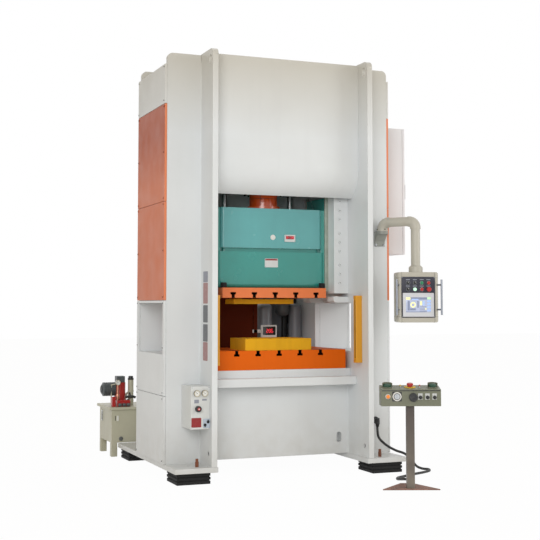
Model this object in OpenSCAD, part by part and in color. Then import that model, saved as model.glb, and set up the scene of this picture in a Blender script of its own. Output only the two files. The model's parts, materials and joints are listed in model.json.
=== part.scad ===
// Straight-side servo press with its pendant, control stand and hydraulic unit, in millimetres.
// The floor is z = 0, the front is -y, and the origin is the centre of the four anchor holes.

/* [Frame] */
// Height of the frame above the floor
frame_h = 3650; // [3400:10:3900]
// Clear width between the two side plates
inner_w = 1400; // [1390:2:1480]
// Thickness of a side plate
side_t = 50; // [40:1:60]
// Width of a column outside its side plate
column_w = 305; // [290:1:340]
// Depth of a column from front face to rear face
column_d = 874; // [840:2:900]
// Thickness of the front and rear plates of a column
plate_t = 40; // [25:1:50]
// Reach of the side plates in front of the columns
front_reach = 315; // [300:1:360]
// Reach of the side plates behind the columns
rear_reach = 715; // [680:1:760]
// Radius of the side plates' upper corners
plate_corner_r = 60; // [20:1:90]
// Radius of the columns' upper outer corners
column_corner_r = 50; // [20:1:90]
// Height of the feed window above the floor
feed_sill = 1055; // [1000:1:1080]
// Height of the feed window itself
feed_h = 437; // [360:1:450]
// Radius of the lifting holes in the side plates
lift_r = 38; // [25:0.5:45]
// Radius of the tie holes near the foot of the side plates
tie_r = 22; // [14:0.5:30]

/* [Feet] */
// Height of the rubber machine mounts
mount_h = 93; // [70:1:110]
// Side of a square machine mount
mount_w = 290; // [240:1:310]
// Distance from the end of a foot plate to the centre of its mount
mount_inset = 174; // [165:1:190]
// Thickness of the foot plates
foot_t = 43; // [30:1:55]
// Radius of the anchor holes
anchor_r = 16; // [10:0.5:20]
// Diameter of the levelling bolts
level_d = 48; // [36:1:56]
// Distance of a levelling bolt from the anchor hole beside it
level_step = 85; // [70:1:100]

/* [Covers] */
// Stand-off of the side covers from the columns
cover_t = 20; // [12:1:30]
// Seam between two covers
cover_seam = 3; // [1:0.5:6]
// Height of the base cover
base_cover_h = 571; // [520:1:600]
// Height of the cover round the feed window
window_cover_h = 809; // [790:1:830]
// Height of each orange cover
orange_cover_h = 844; // [800:1:870]
// Height of the top cover
top_cover_h = 346; // [280:1:360]

/* [Crown] */
// Distance from the floor to the underside of the crown
crown_z = 2520; // [2500:1:2560]
// Distance from the die axis to the front of the rolled crown cover
crown_front = 570; // [550:1:600]
// Thickness of the rolled crown cover
roll_t = 8; // [4:0.5:12]
// Radius of the roll at the lower edge of the crown cover
roll_r = 300; // [260:1:320]
// Angle over which the crown cover is rolled
roll_turn = 59; // [45:1:65]
// Height at which the roll starts
roll_z = 2700; // [2680:1:2740]

/* [Bed] */
// Clearance from the bolster to each side plate
bolster_gap = 50; // [30:1:100]
// Depth of the bolster
bolster_d = 780; // [720:2:784]
// Thickness of the bolster
bolster_t = 170; // [130:1:190]
// Height of the bolster's working face
bolster_z = 1075; // [1060:1:1090]
// Thickness of the riser under the bolster
riser_t = 67; // [50:1:80]
// Thickness of the projecting bed lip
lip_t = 72; // [50:1:90]
// Depth of the bed lip from front to rear
lip_d = 1014; // [980:2:1060]
// Depth of the bed box below the lip
apron_d = 664; // [620:2:700]
// Width of a T-slot's neck
slot_neck = 28; // [20:0.5:34]
// Width of a T-slot's head
slot_head = 50; // [44:0.5:58]
// Depth of a T-slot's neck
slot_neck_h = 30; // [20:0.5:36]
// Height of a T-slot's head
slot_head_h = 20; // [14:0.5:24]

/* [Slide] */
// Height of the slide plate's working face at the top of the stroke
slide_z = 1538; // [1520:1:1560]
// Clearance from the slide plate to the gib liners
slide_plate_gap = 26; // [3:0.5:36]
// Depth of the slide plate
slide_plate_d = 594; // [560:2:610]
// Thickness of the slide plate
slide_plate_t = 90; // [76:1:110]
// Clearance from the slide's head to the gib liners
head_gap = 4; // [3:0.5:40]
// Depth of the slide's head
head_d = 430; // [410:2:480]
// Height of the slide's head
head_h = 325; // [280:1:340]
// Height of the groove above the slide's head
groove_h = 33; // [20:1:50]
// Depth of that groove
groove_in = 26; // [10:1:40]
// Clearance from the box on the slide's front to the gib liners
box_gap = 36; // [12:0.5:60]
// Height of the box on the front of the slide
box_h = 360; // [320:1:380]
// Depth of the box on the front of the slide
box_d = 60; // [40:1:70]
// Distance the box stands in front of the slide's head
box_proud = 12; // [4:1:24]
// Rounding of the box's upright edges
slide_edge_r = 22; // [8:1:26]
// Rounding of the edges of the slide's head
head_round = 40; // [20:1:42]
// Height of the guide ears above the slide's head
ear_rise = 510; // [460:1:520]
// Depth of the guide ears
ear_d = 400; // [340:2:420]
// Diameter of the plunger
plunger_d = 260; // [220:1:270]
// Stroke of the slide
stroke = 200; // [150:1:220]
// Adjustment of the shut height
shut_adjust = 80; // [50:1:90]

/* [Guides] */
// Width of a gib across the press
gib_w = 140; // [120:1:150]
// Distance from the die axis to the front of the gibs
gib_front = 345; // [335:1:360]
// Lower end of the gibs
gib_z = 1580; // [1560:1:1600]
// Thickness of the gib liners
liner_t = 34; // [26:1:54]
// Running clearance of the slide in its guides
guide_gap = 0.3; // [0.3:0.05:1]
// Radius of the gib bolts' heads
gib_bolt_r = 15; // [10:0.5:18]
// Diameter of the balancer rods
rod_d = 50; // [36:1:60]

/* [Tooling] */
// Width of the lower die
lower_die_w = 634; // [500:2:700]
// Depth of the lower die
lower_die_d = 396; // [340:2:400]
// Height of the lower die
lower_die_h = 103; // [80:1:104]
// Width of the upper die
upper_die_w = 585; // [480:1:640]
// Depth of the upper die
upper_die_d = 240; // [200:2:280]
// Thickness of the upper die
upper_die_t = 43; // [30:1:46]
// Height of the parallels over the upper die
parallel_h = 11; // [8:1:14]

/* [Pendant] */
// Length of the swing arm between its two axes
arm_l = 335; // [300:1:380]
// Thickness of the arm's tubes
arm_d = 84; // [70:1:90]
// Height of the arm's axis above the floor
arm_z = 2225; // [2200:1:2260]
// Swing of the arm from the press's width, towards the front
arm_swing = 56; // [30:1:70]
// Width of the pendant box
pendant_w = 372; // [350:1:440]
// Height of the pendant box
pendant_h = 446; // [430:1:480]
// Depth of the pendant box
pendant_d = 180; // [130:1:200]
// Height of the pendant box's upper face above the floor
pendant_top = 1766; // [1740:1:1800]
// Turn of the pendant box about its hanger
pendant_turn = 16; // [0:1:20]
// Pitch of the pendant's controls along a row
control_pitch = 62; // [56:1:76]
// Pitch of the two rows of controls
row_pitch = 57; // [50:1:64]
// Diameter of a control's bezel
control_d = 30; // [28:1:48]
// Travel of a push button
push_travel = 4; // [3:0.5:6]

/* [Control stand] */
// Side of the stand's square post
post_w = 63; // [50:1:90]
// Height of the console's underside
console_z = 666; // [600:1:720]
// Width of the console
console_w = 480; // [440:1:520]
// Depth of the console
console_d = 150; // [130:1:220]
// Height of the console's front face
console_front_h = 134; // [100:1:150]
// Height of the console's rear face
console_rear_h = 158; // [140:1:180]
// Turn of the stand towards the operator's right hand
stand_turn = 21; // [0:1:30]
// Diameter of a palm button
palm_d = 64; // [50:1:70]
// Travel of a palm button
palm_travel = 6; // [4:0.5:8]

/* [Cabinet and hydraulics] */
// Depth of the electrical cabinet across the press
cabinet_w = 304; // [260:1:340]
// Width of the electrical cabinet along the column
cabinet_d = 580; // [520:1:590]
// Height of the electrical cabinet
cabinet_h = 1209; // [1100:1:1240]
// Height of the cabinet's underside
cabinet_z = 1957; // [1900:1:2000]
// Thickness of the cabinet's door
door_t = 24; // [16:1:30]
// Width of the oil tank
tank_w = 640; // [560:1:700]
// Depth of the oil tank
tank_d = 500; // [460:1:560]
// Height of the oil tank's body
tank_h = 318; // [280:1:360]
// Height of the tank's legs
tank_leg_h = 134; // [100:1:160]
// Diameter of the stand's cable
cable_d = 22; // [16:1:26]

/* [Hidden] */
$fn = 64;

// Paint colours
cream = "#dedcd4";
orange = "#c85a28";
green = "#2a7f66";
yellow = "#d9981e";
dark = "#202224";
steel = "#9a9c9c";
grey = "#77796a";
red = "#b01f1f";

// Main planes, measured from the die axis
in_x = inner_w / 2;
out_x = in_x + side_t;
col_x = out_x + column_w;
cover_x = col_x + cover_t;
front_y = -column_d / 2;
rear_y = column_d / 2;
nose_y = front_y - front_reach;
tail_y = rear_y + rear_reach;
foot_z = mount_h;
base_z = mount_h + foot_t;
front_mount_y = nose_y + mount_inset;
rear_mount_y = tail_y - mount_inset;
die_y = -(front_mount_y + rear_mount_y) / 2;
foot_in = in_x - 10;
foot_out = col_x + 10;
mount_x = (out_x + col_x) / 2 - 8;
level_x = mount_x - 45;
window_d = column_d - 2 * plate_t;
core_top = base_z + base_cover_h + window_cover_h + 2 * orange_cover_h + top_cover_h - cover_t;
column_top = frame_h - 5;
lift_inset = 68;
lift_drop = 88;
tie_inset = 90;
tie_rise = 101;

// Heights of the covers' seams
window_cover_z = base_z + base_cover_h;
orange_cover_z = window_cover_z + window_cover_h;
orange_split_z = orange_cover_z + orange_cover_h;
top_cover_z = orange_split_z + orange_cover_h;
cover_screw_r = 9;
cover_screw_step = 290;
cover_screw_edge = 26;

// Bed and slide heights
bolster_base = bolster_z - bolster_t;
bolster_w = inner_w - 2 * bolster_gap;
riser_z = bolster_base - riser_t;
lip_z = riser_z - lip_t;
head_z = slide_z + slide_plate_t;
groove_z = head_z + head_h;
box_z = groove_z + groove_h;
box_top = box_z + box_h;
box_front = -head_d / 2 - box_proud;
ear_top = groove_z + ear_rise;
ear_lift = 42;
ear_end_gap = 10;
gib_in = in_x - gib_w;
gib_top = crown_z - 10;
gib_l = gib_top - gib_z;
liner_in = gib_in - liner_t;
slide_plate_w = 2 * (liner_in - slide_plate_gap);
head_w = 2 * (liner_in - head_gap);
box_w = 2 * (liner_in - box_gap);
slot_count = 5;
slot_pitch = slide_plate_w / slot_count;
slot_edge = 4;
shelf_t = 24;
shelf_d = tail_y - 160 - apron_d / 2;

// Plunger and balancers
plunger_r = plunger_d / 2;
fit_gap = 0.05;
socket_depth = shut_adjust + 170;
plunger_base = box_top - socket_depth + 10;
guide_r = plunger_r + 35;
guide_flange_r = plunger_r + 70;
guide_flange_t = 26;
guide_depth = 180;
plunger_top = crown_z + guide_depth + stroke + 20;
rod_x = in_x * 0.47;
rod_y = ear_d * 0.375;
rod_r = rod_d / 2;
rod_top = crown_z + stroke + shut_adjust + 60;
tube_r = rod_r + 20;
tube_depth = rod_top - crown_z + 20;
crown_top = frame_h - 18;
step_y = -380;
drive_z = frame_h - 420;
case_r = 330;
case_d = 220;

// Pendant placing
swivel_x = col_x - 81;
swivel_y = front_y - 63;
swivel_z = arm_z - 78;
arm_r = arm_d / 2;
swivel_h = 36;
pivot_r = 34;
spigot_r = arm_r - 14;
hanger_x = swivel_x + arm_l * cos(arm_swing);
hanger_y = swivel_y - arm_l * sin(arm_swing);
face_y = -pendant_d / 2;
collar_h = 60;
pendant_corner = 30;
row_z = pendant_h / 2 - 96;
plate_w = pendant_w - 66;
plate_h = pendant_h - 82;
screen_w = plate_w - 26;
screen_h = 210;
screen_z = 10 + (screen_h - plate_h) / 2;
face_plate_t = 3;
stem_r = 9;
stem_gap = 0.3;
stem_l = 24;
knob_lift = 0.5;

// Control stand placing
stand_x = 658;
stand_y = -1564;
slope = atan((console_rear_h - console_front_h) / console_d);
slope_mid = (console_front_h + console_rear_h) / 2;
base_plate_t = 10;
guard_gap = 3;
palm_x = console_w / 2 - 57;
key_x = -console_w / 2 + 126;
key_z = console_z + console_front_h / 2 + 10;

// Air panel placing
air_w = 166;
air_z = 446;
air_h = 354;
air_front = nose_y + 52;
knob_x = -out_x - air_w * 0.64;
knob_z = air_z + 170;

// Cabinet and hydraulic unit placing
cabinet_rear = rear_y;
door_gap = 2;
hinge_r = 6;
hinge_wall = 5;
hinge_h = 80;
hinge_x = cover_x + cabinet_w + door_gap + door_t / 2;
hinge_y = cabinet_rear + hinge_r + hinge_wall + 1;
tank_x = -1122;
tank_y = tail_y + 30;
lid_t = 26;
lid_over = 25;
tank_top = tank_leg_h + tank_h + lid_t;
motor_axis_z = tank_top + 163;
motor_r = 60;
motor_x = -56;
motor_l = 130;
pump_r = 55;
pump_x = motor_x + motor_l + pump_r;
pump_y = tank_d * 0.4;
pump_h = 228;

// Cable route over the floor, measured from the die axis: exit, foot plate, floor, stand
cable_low = cable_d / 2 + 2;
gland_x = 924;
gland_z = 400;
gland_out = 40;
gland_low = 60;
gland_reach = 20;
cable_end = post_w / 2 + gland_reach;
cable_points = [
  [gland_x, front_y - gland_out, gland_z],
  [gland_x, front_y - gland_out, 340],
  [930, -500, 275],
  [965, -570, 220],
  [1020, -640, 180],
  [1090, -680, 152],
  [1150, -695, 95],
  [1205, -685, 38],
  [1260, -690, cable_low],
  [1290, -750, cable_low],
  [1250, -830, cable_low],
  [1150, -895, cable_low],
  [1020, -955, cable_low],
  [890, -1030, cable_low],
  [790, -1110, 18],
  [735, -1200, 24],
  [710, -1300, 38],
  [700, -1390, 52],
  [stand_x + (cable_end + 50) * sin(stand_turn), stand_y + (cable_end + 50) * cos(stand_turn), gland_low],
  [stand_x + cable_end * sin(stand_turn), stand_y + cable_end * cos(stand_turn), gland_low]
];
cable_steps = 3;
cable_sides = 10;

// Shared shapes
module span(x, y, z) {
  translate([x[0], y[0], z[0]])
    cube([x[1] - x[0], y[1] - y[0], z[1] - z[0]]);
}
module at_die() {
  translate([0, die_y, 0])
    children();
}
module both_sides() {
  children();
  mirror([1, 0, 0])
    children();
}
module front_and_rear() {
  children();
  mirror([0, 1, 0])
    children();
}
// Profile drawn in y and z, extruded along x
module across(x, width) {
  translate([x, 0, 0])
    rotate([90, 0, 90])
      linear_extrude(width)
        children();
}
// Profile drawn in x and z, extruded along y
module along(y, depth) {
  translate([0, y + depth, 0])
    rotate([90, 0, 0])
      linear_extrude(depth)
        children();
}
module rounded(w, h, r) {
  square([w - 2 * r, h], center = true);
  square([w, h - 2 * r], center = true);
  for (x = [-1, 1], y = [-1, 1])
    translate([x * (w / 2 - r), y * (h / 2 - r)])
      circle(r);
}
// Round head seen from the front, its axis along y
module stud(x, y, z, r, l) {
  translate([x, y, z])
    rotate([90, 0, 0])
      cylinder(r = r, h = l);
}
module t_slot(length) {
  slot_depth = slot_neck_h + slot_head_h;
  along(-length / 2 - 1, length + 2) {
    translate([-slot_neck / 2, -slot_depth])
      square([slot_neck, slot_depth + 1]);
    translate([-slot_head / 2, -slot_depth])
      square([slot_head, slot_head_h]);
    polygon([
      [-slot_neck / 2 - slot_edge, 0.01],
      [slot_neck / 2 + slot_edge, 0.01],
      [0, -slot_neck / 2 - slot_edge]
    ]);
  }
}
module slot_row(length) {
  for (i = [0 : slot_count - 1])
    translate([(i - (slot_count - 1) / 2) * slot_pitch, 0, 0])
      t_slot(length);
}

// Frame
module side_plate_outline() {
  depth = tail_y - nose_y;
  height = frame_h - base_z;
  difference() {
    union() {
      translate([nose_y, base_z])
        square([depth, height - plate_corner_r]);
      translate([nose_y + plate_corner_r, base_z])
        square([depth - 2 * plate_corner_r, height]);
      for (y = [nose_y + plate_corner_r, tail_y - plate_corner_r])
        translate([y, frame_h - plate_corner_r])
          circle(plate_corner_r);
    }
    translate([-window_d / 2, feed_sill])
      square([window_d, feed_h]);
    for (y = [nose_y + lift_inset, tail_y - lift_inset])
      translate([y, frame_h - lift_drop])
        circle(lift_r);
    for (y = [nose_y + tie_inset, tail_y - tie_inset])
      translate([y, base_z + tie_rise])
        circle(tie_r);
  }
}
// Seats welded to a side plate below the gibs, rounded at their lower inner edge
module gib_seats() {
  seat_drop = 30;
  seat_h = 54;
  seat_r = 30;
  seat_w = gib_w + 8;
  front_and_rear()
    along(-gib_front, gib_front - ear_d / 2)
      translate([in_x - seat_w, gib_z - seat_drop - seat_h]) {
        translate([seat_r, 0])
          square([seat_w - seat_r + 1, seat_h]);
        translate([0, seat_r])
          square([seat_w, seat_h - seat_r]);
        translate([seat_r, seat_r])
          circle(seat_r);
      }
}
module right_side_plate() {
  color(cream)
    at_die() {
      across(in_x, side_t)
        side_plate_outline();
      gib_seats();
    }
}
module left_side_plate() {
  color(cream)
    mirror([1, 0, 0])
      right_side_plate();
}
module column_plate_outline() {
  height = column_top - base_z;
  translate([out_x, base_z]) {
    square([column_w, height - column_corner_r]);
    square([column_w - column_corner_r, height]);
    translate([column_w - column_corner_r, height - column_corner_r])
      circle(column_corner_r);
  }
}
module column(levels) {
  at_die()
    difference() {
      union() {
        along(front_y, plate_t)
          column_plate_outline();
        along(rear_y - plate_t, plate_t)
          column_plate_outline();
        span([out_x, col_x], [-window_d / 2, window_d / 2], [base_z, core_top]);
        span([foot_in, foot_out], [nose_y, tail_y], [foot_z, base_z]);
      }
      span([out_x - 1, col_x + 1], [-window_d / 2, window_d / 2], [feed_sill, feed_sill + feed_h]);
      for (y = [front_mount_y, rear_mount_y]) {
        translate([mount_x, y, foot_z - 1])
          cylinder(r = anchor_r, h = foot_t + 2);
        translate([level_x, y + levels * sign(y), foot_z - 1])
          cylinder(r = level_d / 4 + fit_gap, h = foot_t + 2);
      }
    }
}
module right_column() {
  color(cream)
    column(level_step);
}
module left_column() {
  color(cream)
    mirror([1, 0, 0])
      column(level_step);
}
module machine_mounts() {
  groove = 8;
  color(dark)
    at_die()
      both_sides()
        for (y = [front_mount_y, rear_mount_y])
          translate([mount_x, y, 0])
            difference() {
              translate([0, 0, mount_h / 2])
                cube([mount_w, mount_w, mount_h], center = true);
              for (z = [mount_h / 3, 2 * mount_h / 3])
                difference() {
                  translate([0, 0, z])
                    cube([mount_w + 1, mount_w + 1, groove], center = true);
                  translate([0, 0, z])
                    cube([mount_w - 2 * groove, mount_w - 2 * groove, groove + 1], center = true);
                }
              translate([0, 0, -1])
                cylinder(r = anchor_r, h = mount_h + 2);
            }
}
module levelling_bolts() {
  nut_h = 42;
  stud_h = 66;
  color("#7a4a34")
    at_die()
      both_sides()
        for (y = [front_mount_y, rear_mount_y])
          translate([level_x, y + level_step * sign(y), base_z]) {
            cylinder(r = level_d / 3, h = nut_h, $fn = 6);
            translate([0, 0, -foot_t])
              cylinder(r = level_d / 4, h = foot_t + stud_h);
          }
}

// Crown
module crown() {
  apron_drop = 420;
  apron_t = 40;
  color(cream)
    at_die()
      difference() {
        across(-in_x, inner_w)
          polygon([
            [roll_t - crown_front, roll_z],
            [roll_t - crown_front, crown_top],
            [rear_y, crown_top],
            [rear_y, crown_z - apron_drop],
            [rear_y - apron_t, crown_z - apron_drop],
            [rear_y - apron_t, crown_z],
            [step_y, crown_z],
            [step_y, roll_z]
          ]);
        translate([0, 0, crown_z - 1])
          cylinder(r = plunger_r + 12, h = plunger_top - crown_z + 40);
        translate([0, 0, crown_z - 1])
          cylinder(r = guide_r + fit_gap, h = guide_depth + 1);
        for (x = [-rod_x, rod_x])
          translate([x, rod_y, crown_z - 1])
            cylinder(r = tube_r + fit_gap, h = tube_depth + 1 + fit_gap);
      }
}
module crown_cover() {
  color(cream)
    at_die()
      across(-in_x, inner_w) {
        translate([-crown_front, roll_z])
          square([roll_t, frame_h - 10 - roll_z]);
        translate([-crown_front, crown_top])
          square([crown_front + rear_y, roll_t]);
        difference() {
          translate([roll_r - crown_front, roll_z])
            difference() {
              circle(roll_r, $fn = 128);
              circle(roll_r - roll_t, $fn = 128);
            }
          translate([-crown_front - 1, roll_z])
            square([2 * roll_r + 2, roll_r + 1]);
          translate([roll_r - crown_front, roll_z])
            polygon([
              [0, 0],
              [-2 * roll_r * cos(roll_turn), -2 * roll_r * sin(roll_turn)],
              [3 * roll_r, -3 * roll_r],
              [3 * roll_r, 0]
            ]);
        }
      }
}
module plunger_guide() {
  color(steel)
    at_die()
      difference() {
        union() {
          translate([0, 0, crown_z])
            cylinder(r = guide_r, h = guide_depth);
          translate([0, 0, crown_z - guide_flange_t])
            cylinder(r = guide_flange_r, h = guide_flange_t);
        }
        translate([0, 0, crown_z - guide_flange_t - 1])
          cylinder(r = plunger_r + fit_gap, h = guide_depth + guide_flange_t + 2);
      }
}
module balancer_cylinders() {
  flange_r = tube_r + 22;
  flange_t = 18;
  color(dark)
    at_die()
      for (x = [-rod_x, rod_x])
        translate([x, rod_y, crown_z])
          difference() {
            union() {
              cylinder(r = tube_r, h = tube_depth);
              translate([0, 0, -flange_t])
                cylinder(r = flange_r, h = flange_t);
            }
            translate([0, 0, -flange_t - 1])
              cylinder(r = rod_r + guide_gap, h = tube_depth + flange_t - 7);
          }
}
module balancer_rods() {
  seat_t = 30;
  color(steel)
    at_die()
      for (x = [-rod_x, rod_x])
        translate([x, rod_y, box_top]) {
          cylinder(r = rod_r, h = rod_top - box_top);
          cylinder(r = rod_r + 20, h = seat_t);
        }
}
// Drum-shaped gear case on the rear of the crown, with a bolted rim
module gear_case() {
  rim = 24;
  rim_t = 20;
  ribs = 8;
  rib_t = 16;
  color(cream)
    at_die()
      translate([0, rear_y, drive_z])
        rotate([-90, 0, 0]) {
          cylinder(r = case_r, h = case_d);
          translate([0, 0, case_d - rim_t])
            cylinder(r = case_r + rim, h = rim_t);
          for (i = [0 : ribs - 1])
            rotate([0, 0, (i + 0.5) * 360 / ribs])
              translate([case_r - 4, -rib_t / 2, 0])
                cube([rim + 4, rib_t, case_d]);
        }
}
module servo_motor() {
  body_r = 190;
  body_l = 330;
  flange_t = 24;
  fins = 24;
  fin_t = 9;
  fin_h = 22;
  cowl_l = 90;
  box = [140, 110, 160];
  color("#4a4f52")
    at_die()
      translate([0, rear_y + case_d, drive_z])
        rotate([-90, 0, 0]) {
          cylinder(r = body_r + 40, h = flange_t);
          cylinder(r = body_r, h = body_l);
          for (i = [0 : fins - 1])
            rotate([0, 0, i * 360 / fins])
              translate([body_r - 4, -fin_t / 2, flange_t + 6])
                cube([fin_h + 4, fin_t, body_l - cowl_l]);
          translate([0, 0, body_l + 40 - cowl_l])
            cylinder(r = body_r + fin_h, h = cowl_l);
          translate([-box[0] / 2, -body_r - box[1] + 20, 60])
            cube(box);
        }
}

// Bed
module bed() {
  slot_x = in_x - 92;
  slot_z = base_z + 147;
  slot_r = 24;
  slot_half = 23;
  color(cream)
    at_die()
      difference() {
        union() {
          across(-in_x, inner_w) {
            translate([-apron_d / 2, base_z])
              square([apron_d, lip_z - base_z]);
            translate([-lip_d / 2, lip_z])
              square([lip_d, lip_t]);
            translate([-bolster_d / 2, riser_z])
              square([bolster_d, riser_t]);
          }
          span([-in_x, in_x], [apron_d / 2, apron_d / 2 + shelf_d], [base_z, base_z + shelf_t]);
        }
        for (side = [-1, 1])
          translate([0, -apron_d / 2 + 60, 0])
            rotate([90, 0, 0])
              linear_extrude(61)
                translate([side * slot_x, slot_z]) {
                  square([2 * slot_r, 2 * slot_half], center = true);
                  for (z = [-slot_half, slot_half])
                    translate([0, z])
                      circle(slot_r);
                }
      }
}
module bolster() {
  color(orange)
    at_die()
      difference() {
        span(
          [-bolster_w / 2, bolster_w / 2], [-bolster_d / 2, bolster_d / 2], [bolster_base, bolster_z]
        );
        translate([0, 0, bolster_z])
          slot_row(bolster_d);
      }
}
// Guard sheet set in a square frame
module framed_sheet(x, y, z) {
  frame_w = 40;
  frame_t = 26;
  sheet_t = 6;
  translate([0, y, 0]) {
    span(x, [(frame_t - sheet_t) / 2, (frame_t + sheet_t) / 2], z);
    difference() {
      span(x, [0, frame_t], z);
      span(
        [x[0] + frame_w, x[1] - frame_w], [-1, frame_t + 1], [z[0] + frame_w, z[1] - frame_w]
      );
    }
  }
}
module rear_guard() {
  guard_in = 130;
  guard_top = 1600;
  guard_y = lip_d / 2 - 28;
  back_y = apron_d / 2 + shelf_d - 60;
  color("#8a3d1c")
    at_die() {
      framed_sheet([-in_x, guard_in], guard_y, [riser_z, guard_top]);
      framed_sheet([guard_in, in_x], back_y, [base_z + shelf_t, guard_top]);
    }
}
// Upright vessel with a rounded head, standing on a short skirt
module reservoir(r, h) {
  knuckle = r * 0.6;
  rotate_extrude() {
    square([r, h - knuckle]);
    square([r - knuckle, h]);
    intersection() {
      translate([r - knuckle, h - knuckle])
        circle(knuckle);
      square([r, h]);
    }
  }
  cylinder(r = r + 12, h = 16);
}
module air_reservoirs() {
  big_r = in_x * 0.118;
  small_r = in_x * 0.092;
  vessel_h = gib_z - 90 - base_z - shelf_t;
  reservoir_y = apron_d / 2 + shelf_d * 0.557;
  color("#54585a")
    at_die()
      for (vessel = [[in_x * 0.4, big_r], [in_x * 0.88, small_r]])
        translate([vessel[0], reservoir_y, base_z + shelf_t])
          reservoir(vessel[1], vessel_h);
}

// Slide
module rounded_block(w, d, z, h, r) {
  translate([0, 0, z])
    linear_extrude(h)
      rounded(w, d, r);
}
module slide_plate() {
  color("#e07d48")
    at_die()
      difference() {
        span(
          [-slide_plate_w / 2, slide_plate_w / 2],
          [-slide_plate_d / 2, slide_plate_d / 2],
          [slide_z, head_z]
        );
        translate([0, 0, slide_z])
          mirror([0, 0, 1])
            slot_row(slide_plate_d);
      }
}
module slide_body() {
  neck_d = head_d - 2 * groove_in;
  core_front = box_front + box_d;
  ear_x = in_x - ear_end_gap;
  ear_y = ear_d / 2 - guide_gap;
  ear_base = head_z + ear_lift;
  color(green)
    at_die()
      difference() {
        union() {
          rounded_block(head_w, head_d, head_z, head_h, head_round);
          rounded_block(box_w - 2 * groove_in, neck_d, groove_z, groove_h, slide_edge_r);
          span([-box_w / 2, box_w / 2], [core_front, head_d / 2], [box_z, box_top]);
          both_sides() {
            span([0, ear_x], [max(core_front, -ear_y), ear_y], [ear_base, box_top]);
            span([box_w / 2, ear_x], [-ear_y, ear_y], [ear_base, box_top]);
            span([liner_in, ear_x], [-ear_y, ear_y], [box_top - 1, ear_top]);
          }
        }
        translate([0, 0, box_top - socket_depth])
          cylinder(r = plunger_r + fit_gap, h = socket_depth + 1);
        front_and_rear()
          across(-head_w / 2 - 1, head_w + 2)
            translate([-head_d / 2, head_z])
              difference() {
                translate([-1, -1])
                  square(head_round + 1);
                translate([head_round, head_round])
                  circle(head_round);
              }
      }
}
module slide_cover() {
  lip = 6;
  color(green)
    at_die()
      translate([0, box_front + box_d / 2, 0]) {
        rounded_block(box_w - 2 * lip, box_d, box_z, box_h, slide_edge_r);
        rounded_block(box_w, box_d - 2 * lip, box_z, box_h, slide_edge_r);
      }
}
module plunger() {
  collar_r = plunger_r + 26;
  collar_t = 30;
  color("#c2481c")
    at_die()
      translate([0, 0, plunger_base]) {
        cylinder(r = plunger_r, h = plunger_top - plunger_base);
        translate([0, 0, box_top - plunger_base + 0.3])
          cylinder(r = collar_r, h = collar_t);
      }
}
module stroke_counter() {
  counter_w = 103;
  counter_h = 64;
  counter_x = 168;
  counter_z = box_z + 93;
  color(steel)
    at_die()
      translate([counter_x, box_front, counter_z])
        difference() {
          rotate([90, 0, 0])
            linear_extrude(14)
              rounded(counter_w, counter_h, 5);
          translate([0, -12, 6])
            cube([counter_w - 22, 10, counter_h - 34], center = true);
        }
}

// Guides
module gibs() {
  color(cream)
    at_die()
      both_sides()
        front_and_rear()
          span([gib_in, in_x], [-gib_front, -ear_d / 2], [gib_z, gib_top]);
}
module gib_liners() {
  liner_show = 20;
  color("#8f9a8a")
    at_die()
      both_sides()
        front_and_rear()
          span(
            [liner_in, gib_in],
            [-ear_d / 2 - liner_show, -ear_d / 2],
            [gib_z + 20, gib_top - 20]
          );
}
module gib_bolts() {
  group_step = gib_l * 0.312;
  bolt_step = gib_l * 0.088;
  first_z = gib_z + gib_l * 0.104;
  color(dark)
    at_die()
      both_sides()
        front_and_rear()
          for (group = [0 : 2], bolt = [0 : 2])
            stud(
              gib_in + gib_w * 0.38, -gib_front, first_z + group * group_step + bolt * bolt_step,
              gib_bolt_r, gib_bolt_r
            );
}
module light_curtains() {
  curtain_w = 62;
  curtain_d = 50;
  curtain_front = nose_y + 2 * curtain_w;
  curtain_z = bolster_base + 59;
  curtain_top = gib_z - 23;
  color(yellow)
    at_die()
      both_sides()
        translate([in_x - curtain_w / 2, curtain_front + curtain_d / 2, curtain_z])
          linear_extrude(curtain_top - curtain_z)
            difference() {
              rounded(curtain_w, curtain_d, 6);
              translate([-curtain_w / 2, 0])
                square([16, 22], center = true);
            }
}

// Side covers
module cover_outline(z, h) {
  translate([front_y, z])
    square([column_d, h - cover_seam]);
}
module cover_screws(z, h) {
  rows = floor((h - 2 * cover_screw_edge) / cover_screw_step);
  step = (h - 2 * cover_screw_edge) / rows;
  for (y = [front_y + cover_screw_edge, rear_y - cover_screw_edge], i = [0 : rows])
    translate([cover_x, y, z + cover_screw_edge + i * step])
      rotate([0, 90, 0])
        cylinder(r = cover_screw_r, h = 4);
}
module white_covers() {
  at_die() {
    across(col_x, cover_t) {
      cover_outline(base_z, base_cover_h);
      cover_outline(top_cover_z, top_cover_h);
      difference() {
        cover_outline(window_cover_z, window_cover_h);
        translate([-window_d / 2, feed_sill])
          square([window_d, feed_h]);
      }
    }
    cover_screws(base_z, base_cover_h);
    cover_screws(window_cover_z, window_cover_h);
    cover_screws(top_cover_z, top_cover_h);
  }
}
module orange_covers() {
  at_die() {
    across(col_x, cover_t) {
      cover_outline(orange_cover_z, orange_cover_h);
      cover_outline(orange_split_z, orange_cover_h);
    }
    cover_screws(orange_cover_z, orange_cover_h);
    cover_screws(orange_split_z, orange_cover_h);
  }
}
module right_white_covers() {
  color(cream)
    white_covers();
}
module left_white_covers() {
  color(cream)
    mirror([1, 0, 0])
      white_covers();
}
module right_orange_covers() {
  color(orange)
    orange_covers();
}
module left_orange_covers() {
  color(orange)
    mirror([1, 0, 0])
      orange_covers();
}

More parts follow.
